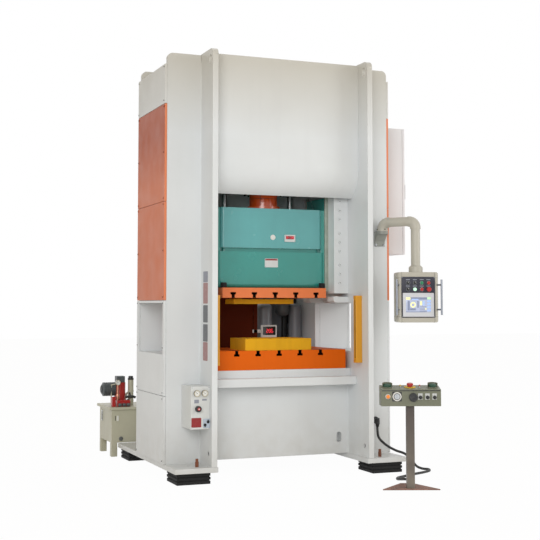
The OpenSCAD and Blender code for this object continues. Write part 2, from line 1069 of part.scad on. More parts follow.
// Tooling
module lower_die() {
  front_gap = 10;
  pocket = 18;
  pocket_rim = 70;
  color(yellow)
    at_die()
      translate([0, (lower_die_d - bolster_d) / 2 + front_gap, bolster_z])
        difference() {
          linear_extrude(lower_die_h)
            rounded(lower_die_w, lower_die_d, 8);
          translate([0, 0, lower_die_h - pocket])
            linear_extrude(pocket + 1)
              rounded(lower_die_w - 2 * pocket_rim, lower_die_d - 2 * pocket_rim, 20);
        }
}
module upper_die() {
  parallel_w = 60;
  parallel_inset = 30;
  die_z = slide_z - parallel_h - upper_die_t;
  offset_x = -30;
  front = -100;
  color(yellow)
    at_die()
      translate([offset_x, front + upper_die_d / 2, 0]) {
        rounded_block(upper_die_w, upper_die_d, die_z, upper_die_t, 8);
        both_sides()
          span(
            [upper_die_w / 2 - parallel_w - parallel_inset, upper_die_w / 2 - parallel_inset],
            [-upper_die_d / 2 + parallel_inset, upper_die_d / 2 - parallel_inset],
            [slide_z - parallel_h - 1, slide_z]
          );
      }
}

// Air panel on the left column
module air_panel() {
  gauge_r = 26;
  gauge_t = 16;
  color("#d5d8d8")
    at_die() {
      difference() {
        span([-out_x - air_w, -out_x], [air_front, front_y], [air_z, air_z + air_h]);
        translate([knob_x, air_front - 1, knob_z])
          rotate([-90, 0, 0])
            cylinder(r = stem_r + stem_gap, h = stem_l + 2);
      }
      for (x = [0.29, 0.7])
        stud(-out_x - air_w * x, air_front, air_z + air_h - 57, gauge_r, gauge_t);
    }
}
module regulator_knob() {
  knob_r = 24;
  ribs = 18;
  color(dark)
    at_die()
      translate([knob_x, air_front, knob_z])
        rotate([90, 0, 0]) {
          translate([0, 0, -stem_l])
            cylinder(r = stem_r, h = stem_l + 4);
          translate([0, 0, knob_lift])
            cylinder(r = knob_r, h = 34);
          for (i = [0 : ribs - 1])
            rotate([0, 0, i * 360 / ribs])
              translate([knob_r - 1, -1.5, knob_lift + 4])
                cube([2.5, 3, 26]);
        }
}

// Electrical cabinet on the right column
module cabinet_body() {
  rim = 12;
  rail_t = 8;
  rail_w = 40;
  rail_inset = 60;
  leaf_gap = 3;
  color("#ddd8dc")
    at_die() {
      span(
        [cover_x + rail_t, cover_x + cabinet_w],
        [cabinet_rear - cabinet_d, cabinet_rear],
        [cabinet_z, cabinet_z + cabinet_h]
      );
      for (y = [cabinet_rear - cabinet_d + rail_inset, cabinet_rear - rail_inset - rail_w])
        span([cover_x, cover_x + rail_t + 1], [y, y + rail_w], [cabinet_z, cabinet_z + cabinet_h]);
      for (z = [cabinet_z + 160, cabinet_z + cabinet_h - 160]) {
        translate([hinge_x, hinge_y, z - hinge_h / 2 - 30])
          cylinder(r = hinge_r, h = hinge_h + 30);
        span(
          [cover_x + cabinet_w - 60, hinge_x + hinge_r],
          [cabinet_rear + leaf_gap, hinge_y + hinge_r],
          [z - hinge_h / 2 - 30, z - hinge_h / 2 - 1]
        );
        span(
          [cover_x + cabinet_w - 60, cover_x + cabinet_w],
          [cabinet_rear, cabinet_rear + rim],
          [z - hinge_h / 2 - 30, z - hinge_h / 2 - 1]
        );
      }
    }
}
module cabinet_door() {
  door_x = cover_x + cabinet_w + door_gap;
  handle_z = cabinet_z + cabinet_h / 2;
  color("#ddd8dc")
    at_die() {
      span(
        [door_x, door_x + door_t],
        [cabinet_rear - cabinet_d, cabinet_rear],
        [cabinet_z, cabinet_z + cabinet_h]
      );
      span([door_x + door_t, door_x + door_t + 26],
        [cabinet_rear - cabinet_d + 30, cabinet_rear - cabinet_d + 56],
        [handle_z - 70, handle_z + 70]);
      for (z = [cabinet_z + 160, cabinet_z + cabinet_h - 160])
        difference() {
          union() {
            translate([hinge_x, hinge_y, z - hinge_h / 2])
              cylinder(r = hinge_r + hinge_wall, h = hinge_h);
            span(
              [hinge_x - 4, hinge_x + 4],
              [cabinet_rear - 1, hinge_y],
              [z - hinge_h / 2, z + hinge_h / 2]
            );
          }
          translate([hinge_x, hinge_y, z - hinge_h / 2 - 1])
            cylinder(r = hinge_r + fit_gap, h = hinge_h + 2);
        }
    }
}

// Pendant arm
// Quarter bend of a round pipe in the xy plane
module pipe_bend(r, bend) {
  rotate_extrude(angle = 90)
    translate([bend, 0])
      circle(r);
}
module arm_bracket() {
  bracket_w = 102;
  bracket_h = 105;
  flange_t = 14;
  shelf_h = 30;
  color("#5c5e5c")
    at_die() {
      span(
        [swivel_x - bracket_w / 2, swivel_x + bracket_w / 2],
        [front_y - flange_t, front_y],
        [swivel_z - bracket_h - shelf_h, swivel_z]
      );
      across(swivel_x - bracket_w / 2, bracket_w)
        polygon([
          [front_y, swivel_z - bracket_h],
          [front_y, swivel_z],
          [swivel_y, swivel_z],
          [swivel_y, swivel_z - shelf_h]
        ]);
      translate([swivel_x, swivel_y, swivel_z - shelf_h])
        cylinder(r = bracket_w / 2, h = shelf_h);
      translate([swivel_x, swivel_y, swivel_z - 1])
        cylinder(r = pivot_r, h = swivel_h + 1);
    }
}
module pendant_arm() {
  elbow_r = arm_r + 5;
  bend_r = elbow_r + 15;
  bend_z = arm_z - bend_r;
  cuff = 8;
  color("#a9a89c")
    at_die()
      translate([swivel_x, swivel_y, 0])
        rotate([0, 0, -arm_swing])
          difference() {
            union() {
              translate([0, 0, swivel_z + knob_lift])
                cylinder(r = elbow_r + 3, h = bend_z - swivel_z - knob_lift);
              translate([bend_r, 0, bend_z])
                rotate([90, 0, 0])
                  rotate([0, 0, 90])
                    pipe_bend(elbow_r, bend_r);
              translate([bend_r, 0, arm_z])
                rotate([0, 90, 0]) {
                  cylinder(r = elbow_r, h = cuff);
                  cylinder(r = arm_r, h = arm_l - 2 * bend_r);
                }
              translate([arm_l - bend_r - cuff, 0, arm_z])
                rotate([0, 90, 0])
                  cylinder(r = elbow_r, h = cuff);
              translate([arm_l - bend_r, 0, bend_z])
                rotate([90, 0, 0])
                  pipe_bend(elbow_r, bend_r);
              translate([arm_l, 0, bend_z - cuff])
                cylinder(r = elbow_r, h = cuff);
              translate([arm_l, 0, pendant_top + collar_h + knob_lift])
                cylinder(r = arm_r - 1, h = bend_z - pendant_top - collar_h - knob_lift);
              translate([arm_l, 0, pendant_top + 1])
                cylinder(r = spigot_r, h = collar_h + 2);
            }
            translate([0, 0, swivel_z - 1])
              cylinder(r = pivot_r + fit_gap, h = swivel_h + 3);
          }
}

// Pendant box, drawn about the hanger's axis with its front along -y
module in_pendant() {
  at_die()
    translate([hanger_x, hanger_y, pendant_top - pendant_h / 2])
      rotate([0, 0, -pendant_turn])
        children();
}
module control_hole(column, row) {
  translate([(column - 1.5) * control_pitch, face_y - face_plate_t - 1, row_z - row * row_pitch])
    rotate([-90, 0, 0])
      cylinder(r = stem_r + stem_gap, h = stem_l + 4);
}
module pendant_box() {
  screen_pocket = 6;
  collar_r = arm_r + 20;
  collar_top = 16;
  color("#a9a89c")
    in_pendant()
      difference() {
        union() {
          intersection() {
            translate([0, 0, -pendant_h / 2])
              linear_extrude(pendant_h)
                rounded(pendant_w, pendant_d, pendant_corner);
            translate([0, -face_y, 0])
              rotate([90, 0, 0])
                linear_extrude(pendant_d)
                  rounded(pendant_w, pendant_h, pendant_corner - 4);
          }
          translate([0, 0, pendant_h / 2]) {
            cylinder(r = collar_r, h = collar_h - collar_top);
            translate([0, 0, collar_h - collar_top])
              cylinder(r1 = collar_r, r2 = collar_r - collar_top, h = collar_top);
          }
          translate([0, face_y, 0])
            cube([plate_w, 2 * face_plate_t, plate_h], center = true);
        }
        translate([0, 0, pendant_h / 2 + 0.7])
          cylinder(r = spigot_r + fit_gap, h = collar_h + 1);
        for (column = [0 : 3], row = [0, 1])
          control_hole(column, row);
        translate([0, face_y + screen_pocket / 2 - face_plate_t, screen_z])
          cube([screen_w + 1, screen_pocket + 2 * face_plate_t, screen_h + 1], center = true);
      }
}
module touch_screen() {
  side_bezel = 28;
  end_bezel = 39;
  color("#d5d7df")
    in_pendant()
      translate([0, face_y + 6, screen_z])
        difference() {
          rotate([90, 0, 0])
            linear_extrude(14)
              rounded(screen_w, screen_h, 8);
          translate([0, -14, 0])
            cube([screen_w - 2 * side_bezel, 6, screen_h - 2 * end_bezel], center = true);
        }
}
module pendant_handles() {
  bar_r = 9;
  bar_l = pendant_h - 132;
  bar_out = 16;
  bar_ahead = 40;
  foot_step = 48;
  run_x = bar_out + pendant_corner;
  run_y = bar_ahead + pendant_corner;
  lean = atan(run_x / run_y);
  reach = norm([run_x, run_y]) - pendant_corner - stem_gap;
  color(steel)
    in_pendant()
      both_sides()
        translate([pendant_w / 2 + bar_out, face_y - bar_ahead, 0]) {
          translate([0, 0, -bar_l / 2])
            cylinder(r = bar_r, h = bar_l);
          for (z = [-bar_l / 2 + foot_step, bar_l / 2 - foot_step])
            translate([0, 0, z])
              rotate([0, 0, lean])
                rotate([-90, 0, 0])
                  cylinder(r = bar_r - 1.5, h = reach);
        }
}
// Each control is placed at its column and row, its axis pointing out of the face
module at_control(column, row) {
  in_pendant()
    translate([(column - 1.5) * control_pitch, face_y - face_plate_t, row_z - row * row_pitch])
      rotate([90, 0, 0])
        children();
}
module selector(column, row) {
  at_control(column, row) {
    translate([0, 0, -stem_l])
      cylinder(r = stem_r, h = stem_l + 2);
    translate([0, 0, knob_lift])
      cylinder(r = control_d / 2, h = 7);
    translate([0, 0, knob_lift])
      cylinder(r = control_d / 2 - 3, h = 12);
    translate([-4.5, -control_d / 2 + 5, knob_lift])
      cube([9, control_d - 10, 24]);
  }
}
module push_button(column, row) {
  cap_h = 12;
  at_control(column, row) {
    translate([0, 0, -stem_l + push_travel + 2])
      cylinder(r = stem_r, h = stem_l);
    translate([0, 0, push_travel + knob_lift])
      cylinder(r = control_d / 2, h = 6);
    translate([0, 0, push_travel + knob_lift])
      cylinder(r = control_d / 2 - 3, h = cap_h);
  }
}
module mode_selector() {
  color(dark)
    selector(0, 0);
}
module key_selector() {
  color(steel)
    selector(1, 0);
}
module start_button() {
  color("#1f8a4c")
    push_button(2, 0);
}
module stop_button() {
  color(red)
    push_button(3, 0);
}
module lamp_selector() {
  color(grey)
    selector(0, 1);
}
module reset_button() {
  color("#d7e8d8")
    push_button(1, 1);
}
module fault_button() {
  color(red)
    push_button(2, 1);
}
// Mushroom head for a stop button, its axis along z and its seat at z = 0
module mushroom(head_r, travel) {
  translate([0, 0, -stem_l + travel + 2])
    cylinder(r = stem_r, h = stem_l + 10);
  translate([0, 0, travel + knob_lift])
    cylinder(r = head_r - 6, h = 14);
  translate([0, 0, travel + knob_lift + 10])
    cylinder(r = head_r, h = 10);
  translate([0, 0, travel + knob_lift + 20])
    cylinder(r1 = head_r, r2 = head_r - 5, h = 5);
}
module pendant_estop() {
  color(red)
    at_control(3, 1)
      mushroom(control_d / 2 + 6, push_travel);
}

// Control stand
module at_stand() {
  at_die()
    translate([stand_x, stand_y, 0])
      rotate([0, 0, -stand_turn])
        children();
}
module control_stand() {
  base_front = 60;
  base_rear = 245;
  base_front_w = 460;
  base_rear_w = 100;
  color("#6b625c")
    at_stand() {
      linear_extrude(base_plate_t)
        polygon([
          [-base_front_w / 2, -base_front],
          [base_front_w / 2, -base_front],
          [base_rear_w / 2, base_rear],
          [-base_rear_w / 2, base_rear]
        ]);
      translate([-post_w / 2, -post_w / 2, 0])
        cube([post_w, post_w, console_z]);
    }
}
// Middle of the console's sloping top, with z out of the panel
module on_console_top() {
  at_stand()
    translate([0, 0, console_z + slope_mid])
      rotate([slope, 0, 0])
        children();
}
module console_box() {
  guard_r = palm_d / 2 + guard_gap + 6;
  guard_h = 34;
  ring_r = 46;
  selector_r = 11;
  buzzer_r = 32;
  lamp_x = -console_w / 2 + 53;
  selector_x = console_w / 2 - 53;
  selector_step = 57;
  color(grey)
    difference() {
      union() {
        at_stand()
          across(-console_w / 2, console_w)
            polygon([
              [-console_d / 2, console_z],
              [-console_d / 2, console_z + console_front_h],
              [console_d / 2, console_z + console_rear_h],
              [console_d / 2, console_z]
            ]);
        on_console_top()
          for (x = [-palm_x, palm_x])
            translate([x, 0, -1])
              difference() {
                cylinder(r = guard_r, h = guard_h + 1);
                translate([0, 0, 1])
                  cylinder(r = guard_r - 6, h = guard_h + 1);
                translate([-guard_r - 1, -guard_r - 1, 8])
                  cube([2 * guard_r + 2, guard_r, guard_h]);
              }
        on_console_top()
          translate([0, 0, -1])
            cylinder(r = ring_r, h = 3);
        at_stand()
          for (i = [0 : 2])
            stud(selector_x - i * selector_step, -console_d / 2, key_z - 6, selector_r, 14);
        at_stand() {
          stud(selector_x - 3 * selector_step, -console_d / 2, key_z - 6, buzzer_r, 20);
          stud(lamp_x, -console_d / 2, key_z, selector_r + 4, 16);
        }
      }
      on_console_top()
        for (x = [-palm_x, 0, palm_x])
          translate([x, 0, -stem_l - 4])
            cylinder(r = stem_r + stem_gap, h = stem_l + 40);
      at_stand()
        translate([key_x, -console_d / 2 + stem_l + 4, key_z])
          rotate([90, 0, 0])
            cylinder(r = stem_r + stem_gap, h = stem_l + 8);
    }
}
module palm_button(x) {
  color("#1f8a4c")
    on_console_top()
      translate([x, 0, 0]) {
        translate([0, 0, -stem_l + palm_travel + 2])
          cylinder(r = stem_r, h = stem_l + 6);
        translate([0, 0, palm_travel + knob_lift])
          cylinder(r = palm_d / 2, h = 14);
        translate([0, 0, palm_travel + knob_lift + 14])
          cylinder(r1 = palm_d / 2, r2 = palm_d / 2 - 8, h = 6);
      }
}
module left_palm_button() {
  palm_button(-palm_x);
}
module right_palm_button() {
  palm_button(palm_x);
}
module console_estop() {
  color(red)
    on_console_top()
      translate([0, 0, 2])
        mushroom(26, palm_travel);
}
module console_key() {
  color("#c8c8c4")
    at_stand()
      translate([key_x, -console_d / 2, key_z])
        rotate([90, 0, 0]) {
          translate([0, 0, -stem_l])
            cylinder(r = stem_r, h = stem_l + 2);
          translate([0, 0, knob_lift])
            cylinder(r = 22, h = 8);
          translate([-2, -14, knob_lift])
            cube([4, 28, 26]);
        }
}

// Cable from the column to the stand
module cable_gland() {
  gland_r = cable_d / 2 + 9;
  elbow_h = 2 * gland_r + 14;
  color(dark)
    at_die() {
      translate([gland_x, front_y - gland_out, gland_z])
        cylinder(r = gland_r, h = elbow_h);
      stud(gland_x, front_y, gland_z + elbow_h - gland_r, gland_r, gland_out);
      stud(gland_x, front_y, gland_z + elbow_h - gland_r, gland_r + 10, 8);
    }
  color(dark)
    at_stand()
      translate([0, post_w / 2, gland_low])
        rotate([-90, 0, 0])
          cylinder(r = gland_r, h = gland_reach);
}
// Smooth curve through the route's points
function route_at(i, t) =
  let(
    n = len(cable_points) - 1,
    a = cable_points[max(i - 1, 0)],
    b = cable_points[i],
    c = cable_points[min(i + 1, n)],
    d = cable_points[min(i + 2, n)]
  )
  0.5 * (2 * b + (c - a) * t + (2 * a - 5 * b + 4 * c - d) * t * t + (3 * b - a - 3 * c + d) * t * t * t);
function unit(v) = v / norm(v);
module stand_cable() {
  centres = [
    for (i = [0 : len(cable_points) - 2], s = [0 : cable_steps - 1]) route_at(i, s / cable_steps),
    cable_points[len(cable_points) - 1]
  ];
  rings = len(centres);
  last = len(cable_points) - 1;
  rings_points = [
    for (i = [0 : rings - 1])
      let(
        ahead = i == 0 ? unit(cable_points[1] - cable_points[0])
          : i == rings - 1 ? unit(cable_points[last] - cable_points[last - 1])
          : unit(centres[i + 1] - centres[i - 1]),
        side = unit(cross(ahead, abs(ahead[2]) > 0.9 ? [0, 1, 0] : [0, 0, 1])),
        up = cross(side, ahead)
      )
      for (k = [0 : cable_sides - 1])
        centres[i] + cable_d / 2 * (cos(k * 360 / cable_sides) * side + sin(k * 360 / cable_sides) * up)
  ];
  walls = [
    for (i = [0 : rings - 2], k = [0 : cable_sides - 1])
      let(n = (k + 1) % cable_sides)
      [i * cable_sides + k, i * cable_sides + n, (i + 1) * cable_sides + n, (i + 1) * cable_sides + k]
  ];
  ends = [
    [for (k = [cable_sides - 1 : -1 : 0]) k],
    [for (k = [0 : cable_sides - 1]) (rings - 1) * cable_sides + k]
  ];
  color(dark)
    at_die()
      polyhedron(points = rings_points, faces = concat(walls, ends), convexity = 6);
}

// Hydraulic unit behind the left column
module at_tank() {
  at_die()
    translate([tank_x, tank_y, 0])
      children();
}
module oil_tank() {
  leg_w = 60;
  filter_r = 28;
  filter_h = 257;
  color("#a9aa97")
    at_tank() {
      span([0, tank_w], [0, tank_d], [tank_leg_h, tank_leg_h + tank_h]);
      span([-lid_over, tank_w + lid_over], [-lid_over, tank_d + lid_over], [tank_leg_h + tank_h, tank_top]);
      for (x = [0, tank_w - leg_w], y = [0, tank_d - leg_w])
        translate([x, y, 0])
          cube([leg_w, leg_w, tank_leg_h + 1]);
      translate([pump_x + pump_r + 2 * filter_r, pump_y, tank_top - 1])
        cylinder(r = filter_r, h = filter_h + 1);
    }
}
// Ribbed motor lying on its side, and the terminal box on the pump
module pump_motor() {
  ribs = 8;
  rib_t = 6;
  rib_h = 8;
  cap_l = 14;
  box = [82, 90, 62];
  color("#4a4f52")
    at_tank() {
      translate([motor_x, pump_y, motor_axis_z])
        rotate([0, 90, 0]) {
          cylinder(r1 = motor_r - cap_l, r2 = motor_r, h = cap_l);
          translate([0, 0, cap_l])
            cylinder(r = motor_r, h = motor_l - cap_l);
          for (i = [0 : ribs - 1])
            translate([0, 0, cap_l + i * (motor_l - cap_l - rib_t) / (ribs - 1)])
              cylinder(r = motor_r + rib_h, h = rib_t);
        }
      translate([pump_x - box[0] / 2, pump_y - box[1] / 2, tank_top + pump_h])
        cube(box);
    }
}
// Upright pump with its port to the motor and a valve block in front of it
module oil_pump() {
  flange_t = 16;
  port_r = 44;
  block = [130, 70, 62];
  stack = [36, 50, 96];
  block_y = 30;
  color(red)
    at_tank() {
      translate([pump_x, pump_y, tank_top]) {
        cylinder(r = pump_r, h = pump_h);
        cylinder(r = pump_r + 20, h = flange_t);
      }
      translate([motor_x + motor_l, pump_y, motor_axis_z])
        rotate([0, 90, 0])
          cylinder(r = port_r, h = pump_r);
      translate([pump_x - block[0] / 2, block_y, tank_top])
        cube(block);
      translate([pump_x - block[0] / 2 - stack[0] - 14, block_y + 10, tank_top])
        cube(stack);
    }
}

left_side_plate();
right_side_plate();
left_column();
right_column();
crown();
crown_cover();
bed();
bolster();
slide_plate();
slide_body();
slide_cover();
plunger();
plunger_guide();
gibs();
gib_liners();
gib_bolts();
left_orange_covers();
left_white_covers();
right_orange_covers();
right_white_covers();
machine_mounts();
levelling_bolts();
light_curtains();
air_panel();
regulator_knob();
balancer_cylinders();
balancer_rods();
gear_case();
servo_motor();
rear_guard();
air_reservoirs();
lower_die();
upper_die();
stroke_counter();
cabinet_body();
cabinet_door();
arm_bracket();
pendant_arm();
pendant_box();
touch_screen();
pendant_handles();
mode_selector();
key_selector();
start_button();
stop_button();
lamp_selector();
reset_button();
fault_button();
pendant_estop();
control_stand();
console_box();
left_palm_button();
right_palm_button();
console_estop();
console_key();
stand_cable();
cable_gland();
oil_tank();
pump_motor();
oil_pump();
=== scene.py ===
import json
import math

import bmesh
import bpy
from mathutils import Matrix, Vector


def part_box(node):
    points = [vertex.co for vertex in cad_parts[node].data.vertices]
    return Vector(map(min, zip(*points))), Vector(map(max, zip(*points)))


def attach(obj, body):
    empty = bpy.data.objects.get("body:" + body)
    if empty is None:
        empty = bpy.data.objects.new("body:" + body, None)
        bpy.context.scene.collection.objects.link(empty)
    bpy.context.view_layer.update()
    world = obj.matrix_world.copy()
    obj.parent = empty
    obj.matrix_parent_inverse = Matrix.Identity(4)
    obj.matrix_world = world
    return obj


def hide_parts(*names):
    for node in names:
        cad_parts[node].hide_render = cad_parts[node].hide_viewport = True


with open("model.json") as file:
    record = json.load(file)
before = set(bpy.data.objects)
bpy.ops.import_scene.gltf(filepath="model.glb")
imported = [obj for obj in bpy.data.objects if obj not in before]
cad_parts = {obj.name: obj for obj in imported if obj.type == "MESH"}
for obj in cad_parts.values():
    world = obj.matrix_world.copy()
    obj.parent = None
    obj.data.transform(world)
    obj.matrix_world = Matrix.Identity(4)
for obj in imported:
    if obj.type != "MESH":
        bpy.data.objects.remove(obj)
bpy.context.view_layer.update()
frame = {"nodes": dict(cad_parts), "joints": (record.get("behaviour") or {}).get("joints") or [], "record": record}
print("frame loaded:", len(frame["nodes"]), "nodes")

mm = 0.001
toFront, toRear, upward = Vector((0, -1, 0)), Vector((0, 1, 0)), Vector((0, 0, 1))
bolsterLow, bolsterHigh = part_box("bolster")
dieY = (bolsterLow.y + bolsterHigh.y) / 2  # the frame's origin lies between the anchor bolts
pivots = {j["name"]: Vector(j["pos_m"]) for j in frame["joints"] if "pos_m" in j}
bodyOf = {n: body for body, nodes in frame["record"]["behaviour"]["bodies"].items() for n in nodes}


def at(x, y, z):  # millimetres about the die axis and the floor, to the frame's metres
    return Vector((x * mm, dieY + y * mm, z * mm))


def boxOf(node):  # a node's lowest and highest corner, in millimetres about the die axis
    low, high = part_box(node)
    return [[c.x / mm, (c.y - dieY) / mm, c.z / mm] for c in (low, high)]


def standing(x, y, z):  # an upright place
    return Matrix.Translation(at(x, y, z))


def turnBy(angle, axis="Z"):  # degrees
    return Matrix.Rotation(math.radians(angle), 4, axis)


def moved(x, y, z=0):  # a shift in millimetres within a place
    return Matrix.Translation((x * mm, y * mm, z * mm))


def facing(x, y, z, turn=0):  # place on an upright face: x along it, y up, z out of it; 0 front, 90 right, 180 rear
    spot = standing(x, y, z) @ turnBy(turn)
    return spot @ turnBy(90, "X")


def addObject(name, data):
    made = bpy.data.objects.new(name, data)
    bpy.context.scene.collection.objects.link(made)
    return made


# Camera, solved from the press's own square edges
cameraSettings = {
    "place": (-3.7285, -9.6956, 1.4703),
    "tilt": 93.6172,
    "turn": -21.7916,
    "lens": 73.80,
    "shiftY": -0.0639,
}


def makeCamera(s):
    data = bpy.data.cameras.new("photoCamera")
    camera = addObject("photoCamera", data)
    camera.location = s["place"]
    camera.rotation_euler = (math.radians(s["tilt"]), 0, math.radians(s["turn"]))
    data.sensor_width = 36.0
    data.lens = s["lens"]
    data.shift_y = s["shiftY"]
    data.clip_end = 100.0
    bpy.context.scene.camera = camera


makeCamera(cameraSettings)


# Finishes
def srgb(code, share=1.0):  # sRGB hex to the linear colour that a shader reads, lighter or darker by a share
    parts = [int(code[i : i + 2], 16) / 255 for i in (1, 3, 5)]
    linear = [c / 12.92 if c <= 0.04045 else ((c + 0.055) / 1.055) ** 2.4 for c in parts]
    return [min(1.0, c * share) for c in linear] + [1.0]


def perMetre(size):  # pattern scale for a feature of that many millimetres
    return 1000.0 / size


def addNode(tree, kind, inputs=None, **settings):  # an input is a value or another node's socket
    node = tree.nodes.new(kind)
    for key, value in settings.items():
        setattr(node, key, value)
    for key, value in (inputs or {}).items():
        if isinstance(value, bpy.types.NodeSocket):
            tree.links.new(value, node.inputs[key])
        else:
            node.inputs[key].default_value = value
    return node


def emptyNodes(owner):
    owner.use_nodes = True
    owner.node_tree.nodes.clear()
    return owner.node_tree


def newFinish(name, shader):
    material = bpy.data.materials.new(name)
    tree = emptyNodes(material)
    where = addNode(tree, "ShaderNodeTexCoord").outputs["Object"]
    surface = addNode(tree, "ShaderNodeBsdfPrincipled", shader)
    addNode(tree, "ShaderNodeOutputMaterial", {"Surface": surface.outputs[0]})
    return material, tree, surface, where


def patches(tree, where, size, low, high, least, most, stretch=(1.0, 1.0, 1.0)):  # soft patches, size in millimetres
    spread = addNode(tree, "ShaderNodeMapping", {"Vector": where, "Scale": stretch})
    noise = addNode(tree, "ShaderNodeTexNoise", {"Vector": spread.outputs[0], "Scale": perMetre(size), "Detail": 4.0})
    limits = {"From Min": low, "From Max": high, "To Min": least, "To Max": most}
    return addNode(tree, "ShaderNodeMapRange", {"Value": noise.outputs[0], **limits}).outputs[0]


def edgeWearAndShadeMask(tree, where, reach, grain, most):  # worn stretches of an outer edge, which on the green finishes stand for painted shade instead; 0 on the flat
    rounded = addNode(tree, "ShaderNodeBevel", {"Radius": reach * mm}, samples=4)
    face = addNode(tree, "ShaderNodeNewGeometry")
    turned = addNode(tree, "ShaderNodeVectorMath", {0: rounded.outputs[0], 1: face.outputs["Normal"]},
        operation="DOT_PRODUCT")
    limits = {"From Min": 0.86, "From Max": 0.985, "To Min": 1.0, "To Max": 0.0}
    edge = addNode(tree, "ShaderNodeMapRange", {"Value": turned.outputs["Value"], **limits})
    broken = patches(tree, where, grain, 0.5, 0.6, 0.0, most)
    return addNode(tree, "ShaderNodeMath", {0: edge.outputs[0], 1: broken}, operation="MULTIPLY").outputs[0]


def paintOver(tree, surface, tone, layers):  # each layer is a mask and the colour that it brings
    for mask, colour in layers:
        tone = addNode(tree, "ShaderNodeMix", {0: mask, 6: tone, 7: colour}, data_type="RGBA").outputs[2]
    tree.links.new(tone, surface.inputs["Base Color"])


def bumps(tree, surface, layers):  # each layer is a height, its strength and its depth in millimetres
    normal = {}
    for height, strength, depth in layers:
        bump = addNode(tree, "ShaderNodeBump", {"Height": height, "Strength": strength, "Distance": depth * mm,
            **normal})
        normal = {"Normal": bump.outputs[0]}
    tree.links.new(normal["Normal"], surface.inputs["Normal"])


# Enamel sprayed on steel plate: slow clouds in the colour, plate that isn't quite flat, fine orange peel,
# dust near the floor, faint runs of grime and paint rubbed thin along the edges; on the greens the edges get painted
# shade instead, and a height tone can add a painted reflection
def sprayedEnamel(name, colour, s):
    shader = {"Coat Weight": s.get("coat", 0.12), "Coat Roughness": 0.12, "IOR": 1.5,
        "Specular IOR Level": s.get("shine", 0.5)}
    material, tree, surface, where = newFinish(name, shader)
    tint = s.get("tint", 0.04)
    height = addNode(tree, "ShaderNodeSeparateXYZ", {"Vector": where}).outputs["Z"]
    nearFloor = {"From Min": 0.08, "From Max": 0.62, "To Min": s.get("dust", 0.45), "To Max": 0.0}
    low = addNode(tree, "ShaderNodeMapRange", {"Value": height, **nearFloor}).outputs[0]
    settled = patches(tree, where, 130, 0.2, 0.8, 0.2, 0.9)
    dust = addNode(tree, "ShaderNodeMath", {0: low, 1: settled}, operation="MULTIPLY").outputs[0]
    layers = [
        (patches(tree, where, 620, 0.25, 0.75, 0.0, 1.0), srgb(colour, 1 + tint)),
        (patches(tree, where, 90, 0.5, 0.75, 0.0, s.get("streak", 0.12), (1.0, 1.0, 0.07)), srgb(colour, 0.62)),
        (dust, srgb("#A79F90")),
        # outer edges: paint rubbed through, and on the green finishes a dark green that is painted shade
        (edgeWearAndShadeMask(tree, where, s.get("reach", 6), 34, s.get("edgeWearAndShade", 0.4)), srgb(s.get("under", "#8B8880"))),
    ]
    if "upper" in s:  # painted reflection: colour that changes with height, deeper high up, where the gloss paint mirrors a darker hall
        start, end, share, tone = s["upper"]
        limits = {"From Min": start, "From Max": end, "To Min": 0.0, "To Max": share}
        layers.insert(1, (addNode(tree, "ShaderNodeMapRange", {"Value": height, **limits}).outputs[0], srgb(tone)))
    if "slots" in s:
        layers.append((slotMask(tree, where, s["slots"]), srgb("#0D0C0B")))
    paintOver(tree, surface, srgb(colour, 1 - tint), layers)
    rough = s.get("rough", 0.38)
    tree.links.new(patches(tree, where, 180, 0.3, 0.7, rough - 0.06, rough + 0.08), surface.inputs["Roughness"])
    waves = patches(tree, where, s.get("wave", 300), 0.0, 1.0, 0.0, 1.0)
    peel = patches(tree, where, 15, 0.0, 1.0, 0.0, 1.0)  # orange peel is near 2 mm, drawn at 15 mm so that it shows
    bumps(tree, surface, [(waves, 0.5, s.get("waveDepth", 2.0)), (peel, 0.16, s.get("peelDepth", 0.3))])
    return material


def slotMask(tree, where, s):  # 1 on the walls of a row of T-slots, which the finish draws near-black
    place = addNode(tree, "ShaderNodeSeparateXYZ", {"Vector": where})
    steps = addNode(tree, "ShaderNodeMath", {0: place.outputs["X"], 1: 1 / (s["pitch"] * mm), 2: 0.5},
        operation="MULTIPLY_ADD")
    part = addNode(tree, "ShaderNodeMath", {0: steps.outputs[0]}, operation="FRACT")
    aside = addNode(tree, "ShaderNodeMath", {0: part.outputs[0], 1: 0.5, 2: s["half"] / s["pitch"]},
        operation="COMPARE")
    middle = (s["low"] + s["high"]) / 2 * mm
    reach = (s["high"] - s["low"]) / 2 * mm
    level = addNode(tree, "ShaderNodeMath", {0: place.outputs["Z"], 1: middle, 2: reach}, operation="COMPARE")
    face = addNode(tree, "ShaderNodeNewGeometry")
    turn = addNode(tree, "ShaderNodeSeparateXYZ", {"Vector": face.outputs["True Normal"]})
    wall = addNode(tree, "ShaderNodeMath", {0: turn.outputs["Y"], 1: 0.0, 2: 0.6}, operation="COMPARE")
    near = addNode(tree, "ShaderNodeMath", {0: aside.outputs[0], 1: level.outputs[0]}, operation="MULTIPLY")
    return addNode(tree, "ShaderNodeMath", {0: near.outputs[0], 1: wall.outputs[0]}, operation="MULTIPLY").outputs[0]


# Bare metal: cutting marks in one direction, a little oil staining and brighter rubbed edges
def bareMetal(name, colour, s):
    material, tree, surface, where = newFinish(name, {"Metallic": s.get("metal", 1.0)})
    layers = [
        (patches(tree, where, 45, 0.35, 0.7, 0.0, s.get("stain", 0.25)), srgb(colour, 0.55)),
        (edgeWearAndShadeMask(tree, where, 2, 12, 0.5), srgb(colour, 1.4)),
    ]
    paintOver(tree, surface, srgb(colour), layers)
    rough = s.get("rough", 0.3)
    stretch = s.get("stretch", (1.0, 1.0, 0.08))
    marks = patches(tree, where, s.get("mark", 4), 0.3, 0.7, 0.0, 1.0, stretch)
    tree.links.new(patches(tree, where, s.get("mark", 4), 0.3, 0.7, rough - 0.07, rough + 0.1, stretch),
        surface.inputs["Roughness"])
    bumps(tree, surface, [(marks, 0.12, 0.15)])
    return material


